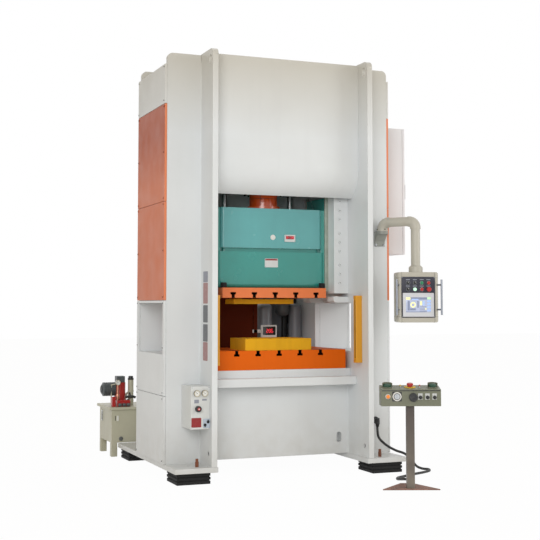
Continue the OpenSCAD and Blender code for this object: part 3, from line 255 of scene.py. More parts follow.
# Moulded plastic or rubber: fine mould grain, soft sheen and scuffs that lighten it
def moulded(name, colour, s):
    shader = {"IOR": 1.49, "Coat Weight": s.get("coat", 0.0), "Coat Roughness": 0.08}
    material, tree, surface, where = newFinish(name, shader)
    scuffs = patches(tree, where, s.get("scuffSize", 22), 0.52, 0.72, 0.0, s.get("scuff", 0.2))
    paintOver(tree, surface, srgb(colour), [(scuffs, srgb(s.get("dusty", "#8A8882")))])
    rough = s.get("rough", 0.42)
    tree.links.new(patches(tree, where, 22, 0.4, 0.75, rough, rough + 0.16), surface.inputs["Roughness"])
    bumps(tree, surface, [(patches(tree, where, s.get("grain", 2.5), 0.0, 1.0, 0.0, 1.0), 0.15, 0.08)])
    return material


# Weathered plate: brown oxide in patches with darker pits and a rough, dry surface
def rustedPlate(name, colour):
    material, tree, surface, where = newFinish(name, {"Metallic": 0.1})
    scale = patches(tree, where, 70, 0.35, 0.65, 0.0, 1.0)
    pits = patches(tree, where, 9, 0.55, 0.7, 0.0, 0.6)
    paintOver(tree, surface, srgb(colour, 0.7), [(scale, srgb(colour, 1.25)), (pits, srgb("#3F2A22"))])
    tree.links.new(patches(tree, where, 70, 0.3, 0.7, 0.6, 0.9), surface.inputs["Roughness"])
    bumps(tree, surface, [(scale, 0.3, 0.8), (pits, 0.4, -0.4)])
    return material


# Lit lens or display: even colour with its own weak light
def litLens(name, colour, strength):
    shader = {"Emission Color": srgb(colour), "Emission Strength": strength, "Coat Weight": 0.5, "Roughness": 0.2}
    material, tree, surface, where = newFinish(name, shader)
    paintOver(tree, surface, srgb(colour, 0.9), [(patches(tree, where, 6, 0.3, 0.7, 0.0, 1.0), srgb(colour, 1.08))])
    return material


def slotsOf(node, upper):  # where a plate's T-slots lie, for slotMask
    low, high = boxOf(node)
    depth, skin = 50, 0.7
    pitch = (boxOf("slide_plate")[1][0] - boxOf("slide_plate")[0][0]) / 5
    ends = (high[2] - depth, high[2] - skin) if upper else (low[2] + skin, low[2] + depth)
    return {"pitch": pitch, "half": 26, "low": ends[0], "high": ends[1]}


# its height tone is painted reflection, darker and warmer high up
offWhite = sprayedEnamel("sprayed_enamel_off_white", "#D9DDE0", {
    "wave": 420, "waveDepth": 2.2, "rough": 0.36, "streak": 0.05, "upper": (2.95, 3.6, 0.6, "#B3AB98")})
# its paler base colour is painted reflection on the lower panels; the deeper orange high up is where no reflection
# shows
panelOrange = sprayedEnamel("sprayed_enamel_orange_panel", "#CC6E42", {
    "tint": 0.05, "edgeWearAndShade": 0.3, "under": "#D9B79C", "rough": 0.42, "coat": 0.0, "shine": 0.35,
    "upper": (2.5, 2.95, 0.95, "#A8480F")})
# a lighter copy of the cover orange for the covers' front faces: painted light
litFrontOrange = sprayedEnamel("sprayed_enamel_orange_painted_lit_front", "#DE8156", {"tint": 0.05, "edgeWearAndShade": 0.3, "under": "#D9B79C"})
bolsterOrange = sprayedEnamel("sprayed_enamel_orange_bolster", "#DD6206", {
    "edgeWearAndShade": 0.8, "under": "#7A3A1A", "rough": 0.5, "dust": 0.0, "coat": 0.0, "shine": 0.15,
    "slots": slotsOf("bolster", True)})
slideOrange = sprayedEnamel("sprayed_enamel_orange_slide_plate", "#E0763C", {
    "edgeWearAndShade": 0.7, "under": "#8A4A2A", "rough": 0.42, "dust": 0.0, "slots": slotsOf("slide_plate", False)})
# its dark green edge tone is painted shade along the rounded edges
castingGreen = sprayedEnamel("brushed_enamel_green_casting", "#2F9189", {
    "wave": 75, "waveDepth": 3.2, "peelDepth": 0.5, "rough": 0.22, "coat": 0.6, "tint": 0.1,
    "edgeWearAndShade": 0.25, "under": "#1D5A45"})
# lighter, bluer green than the casting: painted reflection of a pale sky on the gloss; its dark edge tone is painted
# shade
coverGreenPaintedSheen = sprayedEnamel("brushed_enamel_green_cover_painted_sheen", "#56A4A6", {
    "wave": 110, "waveDepth": 3.0, "peelDepth": 0.5, "rough": 0.2, "coat": 0.8, "tint": 0.12,
    "edgeWearAndShade": 0.6, "under": "#1D6A50", "reach": 14})
plungerRed = sprayedEnamel("gloss_enamel_red_orange", "#D14F18", {
    "rough": 0.2, "coat": 0.5, "waveDepth": 0.3, "edgeWearAndShade": 0.2})
toolYellow = sprayedEnamel("brushed_enamel_tool_yellow", "#DAA21A", {
    "coat": 0.0, "shine": 0.15, "edgeWearAndShade": 1.0, "under": "#4A3F2A", "rough": 0.45, "streak": 0.4, "tint": 0.1,
    "dust": 0.0})
curtainYellow = sprayedEnamel("powder_coat_yellow", "#D9981E", {
    "waveDepth": 0.2, "rough": 0.42, "edgeWearAndShade": 0.15, "dust": 0.0})
guardBrown = sprayedEnamel("sprayed_enamel_brown_guard", "#561C06", {
    "rough": 0.6, "edgeWearAndShade": 0.3, "dust": 0.0, "coat": 0.0, "shine": 0.1})
pendantGrey = sprayedEnamel("powder_coat_pendant_grey", "#B8B5AA", {
    "waveDepth": 0.2, "rough": 0.44, "edgeWearAndShade": 0.12, "dust": 0.0})
bracketGrey = sprayedEnamel("cast_alloy_grey_enamel", "#8F928C", {
    "waveDepth": 0.4, "rough": 0.5, "edgeWearAndShade": 0.2, "dust": 0.0})
consoleGrey = sprayedEnamel("hammer_enamel_console", "#737664", {
    "waveDepth": 0.4, "peelDepth": 0.8, "rough": 0.42, "edgeWearAndShade": 0.25, "dust": 0.0})
postGrey = sprayedEnamel("sprayed_enamel_post", "#4E4641", {"waveDepth": 0.4, "rough": 0.5, "edgeWearAndShade": 0.4, "dust": 0.5})
palePanel = sprayedEnamel("powder_coat_pale_box", "#D3D6D6", {
    "waveDepth": 0.4, "rough": 0.4, "edgeWearAndShade": 0.15, "dust": 0.0})
cabinetPale = sprayedEnamel("powder_coat_cabinet", "#E0E1E5", {"waveDepth": 0.8, "rough": 0.42, "edgeWearAndShade": 0.1})
tankPaint = sprayedEnamel("sprayed_enamel_tank", "#C0BFAA", {
    "waveDepth": 0.8, "rough": 0.42, "edgeWearAndShade": 0.3, "dust": 0.3})
reservoirGrey = sprayedEnamel("sprayed_enamel_reservoir_grey", "#7E8289", {
    "waveDepth": 0.4, "rough": 0.4, "edgeWearAndShade": 0.2, "dust": 0.0})
machineGrey = sprayedEnamel("sprayed_enamel_machine_grey", "#4F5558", {
    "waveDepth": 0.5, "rough": 0.45, "edgeWearAndShade": 0.3, "dust": 0.2})
pumpRed = sprayedEnamel("gloss_enamel_pump_red", "#B3221F", {
    "rough": 0.3, "coat": 0.3, "waveDepth": 0.5, "edgeWearAndShade": 0.2, "dust": 0.0})
turnedSteel = bareMetal("turned_steel", "#A7A9A8", {"rough": 0.28})
groundSteel = bareMetal("ground_steel_liner", "#A9B0A4", {"rough": 0.34, "stain": 0.4, "metal": 0.75})
satinSteel = bareMetal("satin_chrome_bar", "#8F9299", {"rough": 0.42, "stain": 0.1})
platedSteel = bareMetal("bright_zinc_plate", "#C3C6C8", {"rough": 0.22, "stain": 0.12})
blackOxide = bareMetal("black_oxide_steel", "#2A2B2C", {"rough": 0.42, "metal": 0.7})
brownOxide = rustedPlate("oxidised_bolt_steel", "#7A4A34")
rustyBase = rustedPlate("rusted_base_plate", "#8F6E63")
brass = bareMetal("plated_brass_rim", "#C2B595", {"rough": 0.3})
copper = bareMetal("drawn_copper_tube", "#C98E76", {"rough": 0.34})
rubber = moulded("moulded_black_rubber", "#0D0D0D", {"rough": 0.82, "scuff": 0.04, "grain": 5})
blackPlastic = moulded("moulded_black_plastic", "#1C1D1F", {"rough": 0.38, "coat": 0.1})
navyPlate = moulded("printed_navy_face_film", "#2C2D3A", {"rough": 0.45, "scuff": 0.06})
bezelPlastic = moulded("moulded_pale_bezel_abs", "#D3D6DE", {"rough": 0.46, "scuff": 0.06})
whitePlastic = moulded("moulded_white_plastic", "#E4E5E2", {"rough": 0.4, "scuff": 0.05})
yellowPlastic = moulded("moulded_yellow_plastic", "#D9B21E", {"rough": 0.38, "scuff": 0.08})
redPlastic = moulded("moulded_red_plastic", "#B3201F", {"rough": 0.3, "coat": 0.25, "scuff": 0.05})
greenPlastic = moulded("moulded_green_plastic", "#1D7F55", {"rough": 0.3, "coat": 0.25, "scuff": 0.05})
darkGreenPlastic = moulded("moulded_dark_green_plastic", "#14442F", {"rough": 0.35, "coat": 0.2, "scuff": 0.1})
cableJacket = moulded("extruded_pvc_jacket", "#191919", {"rough": 0.5, "scuff": 0.15, "grain": 6})
maroonPlate = moulded("enamelled_maroon_plate", "#8E2326", {"rough": 0.4, "scuff": 0.12})
valvePlate = moulded("anodised_valve_plate", "#B7C3D2", {"rough": 0.4, "scuff": 0.1})
plainPlate = moulded("printed_plain_plate", "#CFD2D3", {"rough": 0.42, "scuff": 0.08})
legendGrey = moulded("printed_legend_strip", "#8F93A0", {"rough": 0.5, "scuff": 0.05})
roseStrip = moulded("printed_rose_strip", "#A57F7F", {
    "rough": 0.5, "scuff": 0.2, "scuffSize": 30, "dusty": "#C9BDBB"})
slateStrip = moulded("printed_slate_strip", "#6C6F74", {"rough": 0.5, "scuff": 0.2, "scuffSize": 30})
darkGlass = moulded("dark_filter_glass", "#121317", {"rough": 0.08, "coat": 0.6, "scuff": 0.03})
greenLens = litLens("lit_green_lens", "#BFF2D2", 0.5)
orangeLens = litLens("orange_lamp_lens", "#E8811C", 0.25)
redDigits = litLens("red_segment_display", "#F0303C", 1.6)
screenPale = litLens("lit_screen_pale", "#A8B1CC", 0.35)
screenBlue = litLens("lit_screen_blue", "#9DB8E8", 0.45)
screenSlate = litLens("lit_screen_slate", "#7E88A4", 0.25)
screenYellow = litLens("lit_screen_yellow", "#ECE9A8", 0.5)
screenGreen = litLens("lit_screen_green", "#B9E8B0", 0.5)
print("finishes made")


# Mesh building
softAngle = 40


def asMesh(shape, name):
    mesh = bpy.data.meshes.new(name)
    shape.to_mesh(mesh)
    shape.free()
    return mesh


def toShape(shape, part, place):
    if place is not None:
        bmesh.ops.transform(part, matrix=place, verts=part.verts)
    mesh = asMesh(part, "part")
    shape.from_mesh(mesh)
    bpy.data.meshes.remove(mesh)


def addBlock(shape, low, high, rounding, place):  # corners in millimetres
    part = bmesh.new()
    size = [(b - a) * mm for a, b in zip(low, high)]
    middle = Vector([(a + b) / 2 * mm for a, b in zip(low, high)])
    bmesh.ops.create_cube(part, size=1.0, matrix=Matrix.Translation(middle) @ Matrix.Diagonal((*size, 1.0)))
    if rounding:
        reach = min(rounding * mm, 0.45 * min(size))
        bmesh.ops.bevel(part, geom=list(part.edges), offset=reach, segments=2, profile=0.5, affect="EDGES")
    toShape(shape, part, place)


def addLathe(shape, profile, place, steps=36):  # profile of radius and height in millimetres
    part = bmesh.new()
    rings = []
    for radius, height in profile:
        count = steps if radius > 0 else 1
        ring = []
        for k in range(count):
            angle = 2 * math.pi * k / steps
            ring.append(part.verts.new((radius * mm * math.cos(angle), radius * mm * math.sin(angle), height * mm)))
        rings.append(ring)
    for low, high in zip(rings, rings[1:]):
        for k in range(steps):
            corners = [low[k % len(low)], low[(k + 1) % len(low)], high[(k + 1) % len(high)], high[k % len(high)]]
            corners = list(dict.fromkeys(corners))
            if len(corners) > 2:
                part.faces.new(corners)
    bmesh.ops.recalc_face_normals(part, faces=part.faces)
    toShape(shape, part, place)


def addPrism(shape, outline, low, high, place, rounding=0.0):  # flat outline in millimetres, drawn out along z
    part = bmesh.new()
    base = [part.verts.new((x * mm, y * mm, low * mm)) for x, y in outline]
    top = [part.verts.new((x * mm, y * mm, high * mm)) for x, y in outline]
    part.faces.new(base[::-1])
    part.faces.new(top)
    for k in range(len(base)):
        n = (k + 1) % len(base)
        part.faces.new((base[k], base[n], top[n], top[k]))
    if rounding:
        sharp = [e for e in part.edges if e.calc_face_angle(0.0) > 0.6]
        bmesh.ops.bevel(part, geom=sharp, offset=rounding * mm, segments=2, profile=0.5, affect="EDGES")
    bmesh.ops.recalc_face_normals(part, faces=part.faces)
    toShape(shape, part, place)


def roundedOutline(width, height, corner, steps=5):
    points = []
    for cx, cy, start in ((1, 1, 0), (-1, 1, 90), (-1, -1, 180), (1, -1, 270)):
        for k in range(steps + 1):
            angle = math.radians(start + 90 * k / steps)
            x = cx * (width / 2 - corner) + corner * math.cos(angle)
            points.append((x, cy * (height / 2 - corner) + corner * math.sin(angle)))
    return points


def addTube(shape, points, radius, steps=12):  # round bar through points in metres
    part = bmesh.new()
    rings = []
    side = None
    for i, point in enumerate(points):
        ahead = (points[min(i + 1, len(points) - 1)] - points[max(i - 1, 0)]).normalized()
        if side is None:
            side = ahead.orthogonal().normalized()
        side = (side - ahead * side.dot(ahead)).normalized()
        up = ahead.cross(side)
        ring = []
        for k in range(steps):
            angle = 2 * math.pi * k / steps
            ring.append(part.verts.new(point + radius * mm * (math.cos(angle) * side + math.sin(angle) * up)))
        rings.append(ring)
    for low, high in zip(rings, rings[1:]):
        for k in range(steps):
            part.faces.new((low[k], low[(k + 1) % steps], high[(k + 1) % steps], high[k]))
    part.faces.new(rings[0][::-1])
    part.faces.new(rings[-1])
    bmesh.ops.recalc_face_normals(part, faces=part.faces)
    toShape(shape, part, None)


def smoothLine(points, steps):  # points on the curve that runs through the given ones
    line = []
    last = len(points) - 1
    for i in range(last):
        a, b, c, d = (points[max(0, min(last, i + k))] for k in (-1, 0, 1, 2))
        for k in range(steps):
            t = k / steps
            curve = 2 * b + (c - a) * t + (2 * a - 5 * b + 4 * c - d) * t * t + (3 * b - a - 3 * c + d) * t ** 3
            line.append(0.5 * curve)
    return line + [points[last]]


def softShading(mesh, angle):
    shape = bmesh.new()
    shape.from_mesh(mesh)
    for face in shape.faces:
        face.smooth = True
    for edge in shape.edges:
        edge.smooth = len(edge.link_faces) == 2 and edge.calc_face_angle(0.0) < math.radians(angle)
    shape.to_mesh(mesh)
    shape.free()


def asPiece(name, mesh, material, body, replaced=()):
    piece = addObject(name, mesh)
    mesh.materials.clear()
    mesh.materials.append(material)
    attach(piece, body)
    if replaced:
        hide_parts(*replaced)
    return piece


def finishShape(shape, name, material, body):
    mesh = asMesh(shape, name)
    softShading(mesh, softAngle)
    return asPiece(name, mesh, material, body)


def makeTurned(name, material, body, profile, place, steps=36):
    shape = bmesh.new()
    addLathe(shape, profile, place, steps)
    return finishShape(shape, name, material, body)


# Node trees for what repeats
def newTree(name, sizes):
    tree = bpy.data.node_groups.new(name, "GeometryNodeTree")
    tree.interface.new_socket("Geometry", in_out="INPUT", socket_type="NodeSocketGeometry")
    for key, value in sizes.items():
        kind = "NodeSocketInt" if isinstance(value, int) else "NodeSocketFloat"
        tree.interface.new_socket(key, in_out="INPUT", socket_type=kind).default_value = value
    tree.interface.new_socket("Finish", in_out="INPUT", socket_type="NodeSocketMaterial")
    tree.interface.new_socket("Geometry", in_out="OUTPUT", socket_type="NodeSocketGeometry")
    return tree, addNode(tree, "NodeGroupInput").outputs


def endTree(tree, geometry, inputs):
    real = addNode(tree, "GeometryNodeRealizeInstances", {"Geometry": geometry})
    done = addNode(tree, "GeometryNodeSetMaterial", {"Geometry": real.outputs[0], "Material": inputs["Finish"]})
    addNode(tree, "NodeGroupOutput", {0: done.outputs[0]})


def makeBoltTree():  # washer, head and chamfer at each point, along its facing
    sizes = {"Head Radius": 0.008, "Head Height": 0.006, "Washer Radius": 0.011, "Washer Height": 0.0015, "Sides": 6}
    tree, inputs = newTree("boltHeads", sizes)
    washer = addNode(tree, "GeometryNodeMeshCone", {
        "Vertices": 16, "Radius Top": inputs["Washer Radius"], "Radius Bottom": inputs["Washer Radius"],
        "Depth": inputs["Washer Height"]})
    head = addNode(tree, "GeometryNodeMeshCone", {
        "Vertices": inputs["Sides"], "Radius Top": inputs["Head Radius"], "Radius Bottom": inputs["Head Radius"],
        "Depth": inputs["Head Height"]})
    topRadius = addNode(tree, "ShaderNodeMath", {0: inputs["Head Radius"], 1: 0.82}, operation="MULTIPLY")
    topHeight = addNode(tree, "ShaderNodeMath", {0: inputs["Head Height"], 1: 0.2}, operation="MULTIPLY")
    chamfer = addNode(tree, "GeometryNodeMeshCone", {
        "Vertices": inputs["Sides"], "Radius Top": topRadius.outputs[0], "Radius Bottom": inputs["Head Radius"],
        "Depth": topHeight.outputs[0]})
    lift = addNode(tree, "ShaderNodeCombineXYZ", {"Z": inputs["Head Height"]})
    raised = addNode(tree, "GeometryNodeTransform", {"Geometry": chamfer.outputs[0], "Translation": lift.outputs[0]})
    joined = addNode(tree, "GeometryNodeJoinGeometry")
    for part in (washer, head, raised):
        tree.links.new(part.outputs[0], joined.inputs[0])
    points = addNode(tree, "GeometryNodeMeshToPoints", {"Mesh": inputs["Geometry"]})
    way = addNode(tree, "GeometryNodeInputNamedAttribute", {"Name": "facing"}, data_type="FLOAT_VECTOR")
    turned = addNode(tree, "FunctionNodeAlignRotationToVector", {"Vector": way.outputs[0]}, axis="Z")
    placed = addNode(tree, "GeometryNodeInstanceOnPoints", {
        "Points": points.outputs[0], "Instance": joined.outputs[0], "Rotation": turned.outputs[0]})
    endTree(tree, placed.outputs[0], inputs)
    return tree


def makeBeadTree():  # weld bead along lines, with a ripple for each small step of the torch
    tree, inputs = newTree("weldBead", {"Bead Radius": 0.006, "Ripple Step": 0.004})
    line = addNode(tree, "GeometryNodeMeshToCurve", {"Mesh": inputs["Geometry"]})
    even = addNode(tree, "GeometryNodeResampleCurve", {"Curve": line.outputs[0], "Length": inputs["Ripple Step"]},
        mode="LENGTH")
    number = addNode(tree, "GeometryNodeInputIndex")
    turn = addNode(tree, "ShaderNodeMath", {0: number.outputs[0], 1: math.pi / 2}, operation="MULTIPLY")
    wave = addNode(tree, "ShaderNodeMath", {0: turn.outputs[0]}, operation="SINE")
    size = addNode(tree, "ShaderNodeMath", {0: wave.outputs[0], 1: 0.1, 2: 1.0}, operation="MULTIPLY_ADD")
    sized = addNode(tree, "GeometryNodeSetCurveRadius", {"Curve": even.outputs[0], "Radius": size.outputs[0]})
    ring = addNode(tree, "GeometryNodeCurvePrimitiveCircle", {"Resolution": 8, "Radius": inputs["Bead Radius"]})
    sweep = {"Curve": sized.outputs[0], "Profile Curve": ring.outputs[0], "Fill Caps": True}
    bead = addNode(tree, "GeometryNodeCurveToMesh", sweep)
    endTree(tree, bead.outputs[0], inputs)
    return tree


def makeRingTree():  # rings strung along lines, for ribs and grilles
    tree, inputs = newTree("ribRings", {"Ring Radius": 0.02, "Rib Radius": 0.002, "Rib Step": 0.006})
    line = addNode(tree, "GeometryNodeMeshToCurve", {"Mesh": inputs["Geometry"]})
    points = addNode(tree, "GeometryNodeCurveToPoints", {"Curve": line.outputs[0], "Length": inputs["Rib Step"]},
        mode="LENGTH")
    path = addNode(tree, "GeometryNodeCurvePrimitiveCircle", {"Resolution": 24, "Radius": inputs["Ring Radius"]})
    section = addNode(tree, "GeometryNodeCurvePrimitiveCircle", {"Resolution": 6, "Radius": inputs["Rib Radius"]})
    ring = addNode(tree, "GeometryNodeCurveToMesh", {"Curve": path.outputs[0], "Profile Curve": section.outputs[0]})
    placed = addNode(tree, "GeometryNodeInstanceOnPoints", {
        "Points": points.outputs[0], "Instance": ring.outputs[0], "Rotation": points.outputs["Rotation"]})
    endTree(tree, placed.outputs[0], inputs)
    return tree


def runTree(name, tree, mesh, sizes, material, body, angle=softAngle):
    maker = addObject(name + "Maker", mesh)
    modifier = maker.modifiers.new("build", "NODES")
    modifier.node_group = tree
    sockets = {s.name: s.identifier for s in tree.interface.items_tree if s.in_out == "INPUT"}
    for key, value in {**sizes, "Finish": material}.items():
        modifier[sockets[key]] = value
    bpy.context.view_layer.update()
    made = bpy.data.meshes.new_from_object(maker.evaluated_get(bpy.context.evaluated_depsgraph_get()))
    maker.modifiers.remove(modifier)
    bpy.data.objects.remove(maker)
    made.name = name
    softShading(made, angle)
    return asPiece(name, made, material, body)


def pointMesh(places):  # points with the way each one faces
    mesh = bpy.data.meshes.new("places")
    mesh.from_pydata([p for p, _ in places], [], [])
    ways = mesh.attributes.new("facing", "FLOAT_VECTOR", "POINT")
    for i, (_, way) in enumerate(places):
        ways.data[i].vector = way
    return mesh


def lineMesh(lines):
    mesh = bpy.data.meshes.new("lines")
    points, edges = [], []
    for line in lines:
        edges += [(len(points) + k, len(points) + k + 1) for k in range(len(line) - 1)]
        points += line
    mesh.from_pydata(points, edges, [])
    return mesh


def boltSizes(head, height, washer=0.0, washerHeight=0.0, sides=6):  # millimetres to the tree's inputs
    return {"Head Radius": head * mm, "Head Height": height * mm, "Washer Radius": max(washer, head) * mm,
            "Washer Height": max(washerHeight, 0.2) * mm, "Sides": sides}


def makeBolts(name, places, sizes, material, body):
    runTree(name, boltTree, pointMesh(places), sizes, material, body)


boltTree = makeBoltTree()
beadTree = makeBeadTree()
ringTree = makeRingTree()
print("node trees made")


# Cable from the press to the stand, along the route that its solid has
cableSettings = {
    "diameter": 22,
    "standPlace": (658, -1564),
    "standTurn": 21,
    "endReach": 51.5,
    "lead": 50,
    "points": [
        (924, -477, 400), (924, -477, 340), (930, -500, 275), (965, -570, 220), (1020, -640, 180),
        (1090, -680, 152), (1150, -695, 95), (1205, -685, 38), (1260, -690, 13), (1290, -750, 13),
        (1250, -830, 13), (1150, -895, 13), (1020, -955, 13), (890, -1030, 13), (790, -1110, 18),
        (735, -1200, 24), (710, -1300, 38), (700, -1390, 52),
    ],
    "endHeight": 60,
}


def makeCable(s):
    turn = math.radians(s["standTurn"])
    points = [at(*p) for p in s["points"]]
    for reach in (s["endReach"] + s["lead"], s["endReach"]):
        x = s["standPlace"][0] + reach * math.sin(turn)
        points.append(at(x, s["standPlace"][1] + reach * math.cos(turn), s["endHeight"]))
    line = smoothLine(points, 5)
    data = bpy.data.curves.new("stand_cable_jacket", "CURVE")
    data.dimensions = "3D"
    data.bevel_depth = s["diameter"] / 2 * mm
    data.bevel_resolution = 5
    data.use_fill_caps = True
    spline = data.splines.new("POLY")
    spline.points.add(len(line) - 1)
    spline.use_smooth = True
    for point, place in zip(spline.points, line):
        point.co = (*place, 1.0)
    cable = addObject("stand_cable_jacket", data)
    data.materials.append(cableJacket)
    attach(cable, "frame")
    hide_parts("stand_cable")


makeCable(cableSettings)


# The frame's own solids get rounded edges and their finish. Radius in millimetres, 0 keeps the solid itself.
dressing = {
    offWhite: {"left_side_plate": 4, "right_side_plate": 4, "left_column": 5, "right_column": 5, "crown": 3,
               "crown_cover": 2, "bed": 4, "gibs": 3, "left_white_covers": 3, "right_white_covers": 3,
               "gib_bolts": 0, "gear_case": 1},
    panelOrange: {"left_orange_covers": 3, "right_orange_covers": 3},
    bolsterOrange: {"bolster": 2},
    slideOrange: {"slide_plate": 2},
    castingGreen: {"slide_body": 4},
    coverGreenPaintedSheen: {"slide_cover": 8},
    plungerRed: {"plunger": 0},
    toolYellow: {"lower_die": 3, "upper_die": 3},
    curtainYellow: {"light_curtains": 2},
    guardBrown: {"rear_guard": 2},
    groundSteel: {"gib_liners": 2},
    satinSteel: {"pendant_handles": 0},
    platedSteel: {"console_key": 0},
    turnedSteel: {"balancer_rods": 0, "plunger_guide": 0},
    brownOxide: {"levelling_bolts": 0},
    rubber: {"machine_mounts": 4},
    reservoirGrey: {"air_reservoirs": 0},
    machineGrey: {"balancer_cylinders": 0, "servo_motor": 2, "pump_motor": 2},
    palePanel: {"air_panel": 4, "stroke_counter": 1.5},
    cabinetPale: {"cabinet_body": 4, "cabinet_door": 4},
    bracketGrey: {"arm_bracket": 4},
    pendantGrey: {"pendant_arm": 0, "pendant_box": 4},
    bezelPlastic: {"touch_screen": 2},
    blackPlastic: {"mode_selector": 0, "key_selector": 0, "lamp_selector": 0, "regulator_knob": 0, "cable_gland": 0},
    greenPlastic: {"start_button": 0},
    redPlastic: {"stop_button": 0, "fault_button": 0, "pendant_estop": 0, "console_estop": 0},
    greenLens: {"reset_button": 0},
    darkGreenPlastic: {"left_palm_button": 0, "right_palm_button": 0},
    postGrey: {"control_stand": 3},
    consoleGrey: {"console_box": 3},
    tankPaint: {"oil_tank": 4},
    pumpRed: {"oil_pump": 3},
}
standFoot = boxOf("control_stand")[0][2] + 11
panelFront = boxOf("air_panel")[0][1] + 15.5
fanCowl = boxOf("servo_motor")[1][1] - 91
coverFront = boxOf("right_orange_covers")[0][1] + 2
guardSplit = boxOf("rear_guard")[0][1] + 100

# Some solids carry a second finish on the faces that a rule picks, from a face's middle in millimetres
secondFinish = {
    "control_stand": (rustyBase, lambda p: p[2] < standFoot),
    "rear_guard": (reservoirGrey, lambda p: p[1] > guardSplit),
    # the orange covers' front faces take the lighter orange, which is painted light
    "left_orange_covers": (litFrontOrange, lambda p: p[1] < coverFront),
    "right_orange_covers": (litFrontOrange, lambda p: p[1] < coverFront),
    "air_panel": (blackPlastic, lambda p: p[1] < panelFront),
    "servo_motor": (blackPlastic, lambda p: p[1] > fanCowl),
}


edgeSettings = {"merge": 2e-5, "flat": 0.4, "sharp": 40, "shortest": 6, "segments": 3, "soft": 32}


def roundEdges(node, material, radius, s):  # outer edges only
    mesh = frame["nodes"][node].data.copy()
    shape = bmesh.new()
    shape.from_mesh(mesh)
    bmesh.ops.remove_doubles(shape, verts=shape.verts, dist=s["merge"])
    bmesh.ops.dissolve_limit(shape, angle_limit=math.radians(s["flat"]), verts=shape.verts, edges=shape.edges)
    sharp = []
    for edge in shape.edges:
        outer = len(edge.link_faces) == 2 and edge.calc_face_angle_signed(0.0) > math.radians(s["sharp"])
        if outer and edge.calc_length() > s["shortest"] * radius * mm:
            sharp.append(edge)
    bmesh.ops.bevel(shape, geom=sharp, offset=radius * mm, segments=s["segments"], profile=0.5, affect="EDGES",
        clamp_overlap=False, loop_slide=False)
    shape.to_mesh(mesh)
    shape.free()
    softShading(mesh, s["soft"])
    piece = asPiece(node + "_rounded", mesh, material, bodyOf[node], (node,))
    if node in secondFinish:
        finish, chosen = secondFinish[node]
        mesh.materials.append(finish)
        for face in mesh.polygons:
            x, y, z = face.center
            face.material_index = int(chosen((x / mm, (y - dieY) / mm, z / mm)))
    even = piece.modifiers.new("evenNormals", "WEIGHTED_NORMAL")
    even.keep_sharp = True
    even.weight = 100


for material, nodes in dressing.items():
    for node, radius in nodes.items():
        if radius:
            roundEdges(node, material, radius, edgeSettings)
        else:
            solid = frame["nodes"][node]
            solid.data.materials.clear()
            solid.data.materials.append(material)
print("solids dressed")


# Parts that several places share
segmentsOf = {"0": "abcdef", "1": "bc", "2": "abged", "3": "abgcd", "4": "fgbc", "5": "afgcd", "6": "afgedc",
              "7": "abc", "8": "abcdefg", "9": "abcdfg"}


def addDigits(shape, digits, x, y, height, out, place):  # seven-segment digits from their lower left corner
    half, bar, gap = height / 2, height * 0.11, height * 0.03
    width = half
    for k, digit in enumerate(digits):
        left = x + k * width * 1.45
        level = {"a": height, "g": half, "d": 0.0}
        upright = {"f": (0, half), "b": (width, half), "e": (0, 0), "c": (width, 0)}
        for segment in segmentsOf[digit]:
            if segment in level:
                low = (left + bar / 2 + gap, y + level[segment] - bar / 2, out)
                high = (left + width - bar / 2 - gap, y + level[segment] + bar / 2, out + 0.6)
            else:
                dx, dy = upright[segment]
                low = (left + dx - bar / 2, y + dy + bar / 2 + gap, out)
                high = (left + dx + bar / 2, y + dy + half - bar / 2 - gap, out + 0.6)
            addBlock(shape, low, high, 0.2, place)


def makeGauge(name, radius, place, body):  # pressure gauge: rim, dial, ticks and needle
    makeTurned(name + "_rim", brass, body,
        [(radius - 3, 0), (radius, 0), (radius + 1, 2), (radius, 5), (radius - 3, 5), (radius - 3, 0)], place)
    makeTurned(name + "_dial", whitePlastic, body,
        [(0, 0), (radius - 3.2, 0), (radius - 3.2, 1.2), (0, 1.2)], place)
    marks = bmesh.new()
    for k in range(11):
        turn = turnBy(135 - 27 * k)
        length = radius * (0.22 if k % 5 == 0 else 0.13)
        addBlock(marks, (-0.5, radius * 0.8 - length, 1.2), (0.5, radius * 0.8, 1.6), 0.1, place @ turn)
    turn = turnBy(50)
    addBlock(marks, (-0.9, -radius * 0.15, 1.8), (0.9, radius * 0.62, 2.4), 0.2, place @ turn)
    addLathe(marks, [(0, 1.2), (2.4, 1.2), (2.4, 3.2), (0, 3.2)], place, 16)
    finishShape(marks, name + "_marks", blackOxide, body)


# flat plates as (x, y, width, height) from the middle
def makePlates(name, plates, out, place, material, body, rounding=0.6):
    shape = bmesh.new()
    for x, y, width, height in plates:
        addPrism(shape, [(x + u, y + v) for u, v in roundedOutline(width, height, min(width, height) * 0.08)],
                 out[0], out[1], place, min(rounding, (out[1] - out[0]) * 0.3))
    return finishShape(shape, name, material, body)


# Screw heads and bolts
screwSettings = {
    "coverHeights": [(136, 571), (707, 809), (1516, 844), (2360, 844), (3204, 346)],
    "coverEdge": 26,
    "coverStep": 290,
    "coverHead": (5.5, 2.2),
    "gibSocket": (4, 0.8),
    "gibRows": (0.104, 0.312, 0.088),
    "gibBolt": 15,
    "motorFlange": 24,
    "caseRing": (342, 16),
    "flangeRing": (174, 12),
    "motorRing": (212, 8),
}


def ringOf(middle, radius, count, axis):  # places round a circle, facing along its axis
    side = axis.orthogonal().normalized()
    up = axis.cross(side)
    turns = [2 * math.pi * (k + 0.5) / count for k in range(count)]
    return [(middle + radius * mm * (math.cos(t) * side + math.sin(t) * up), axis) for t in turns]


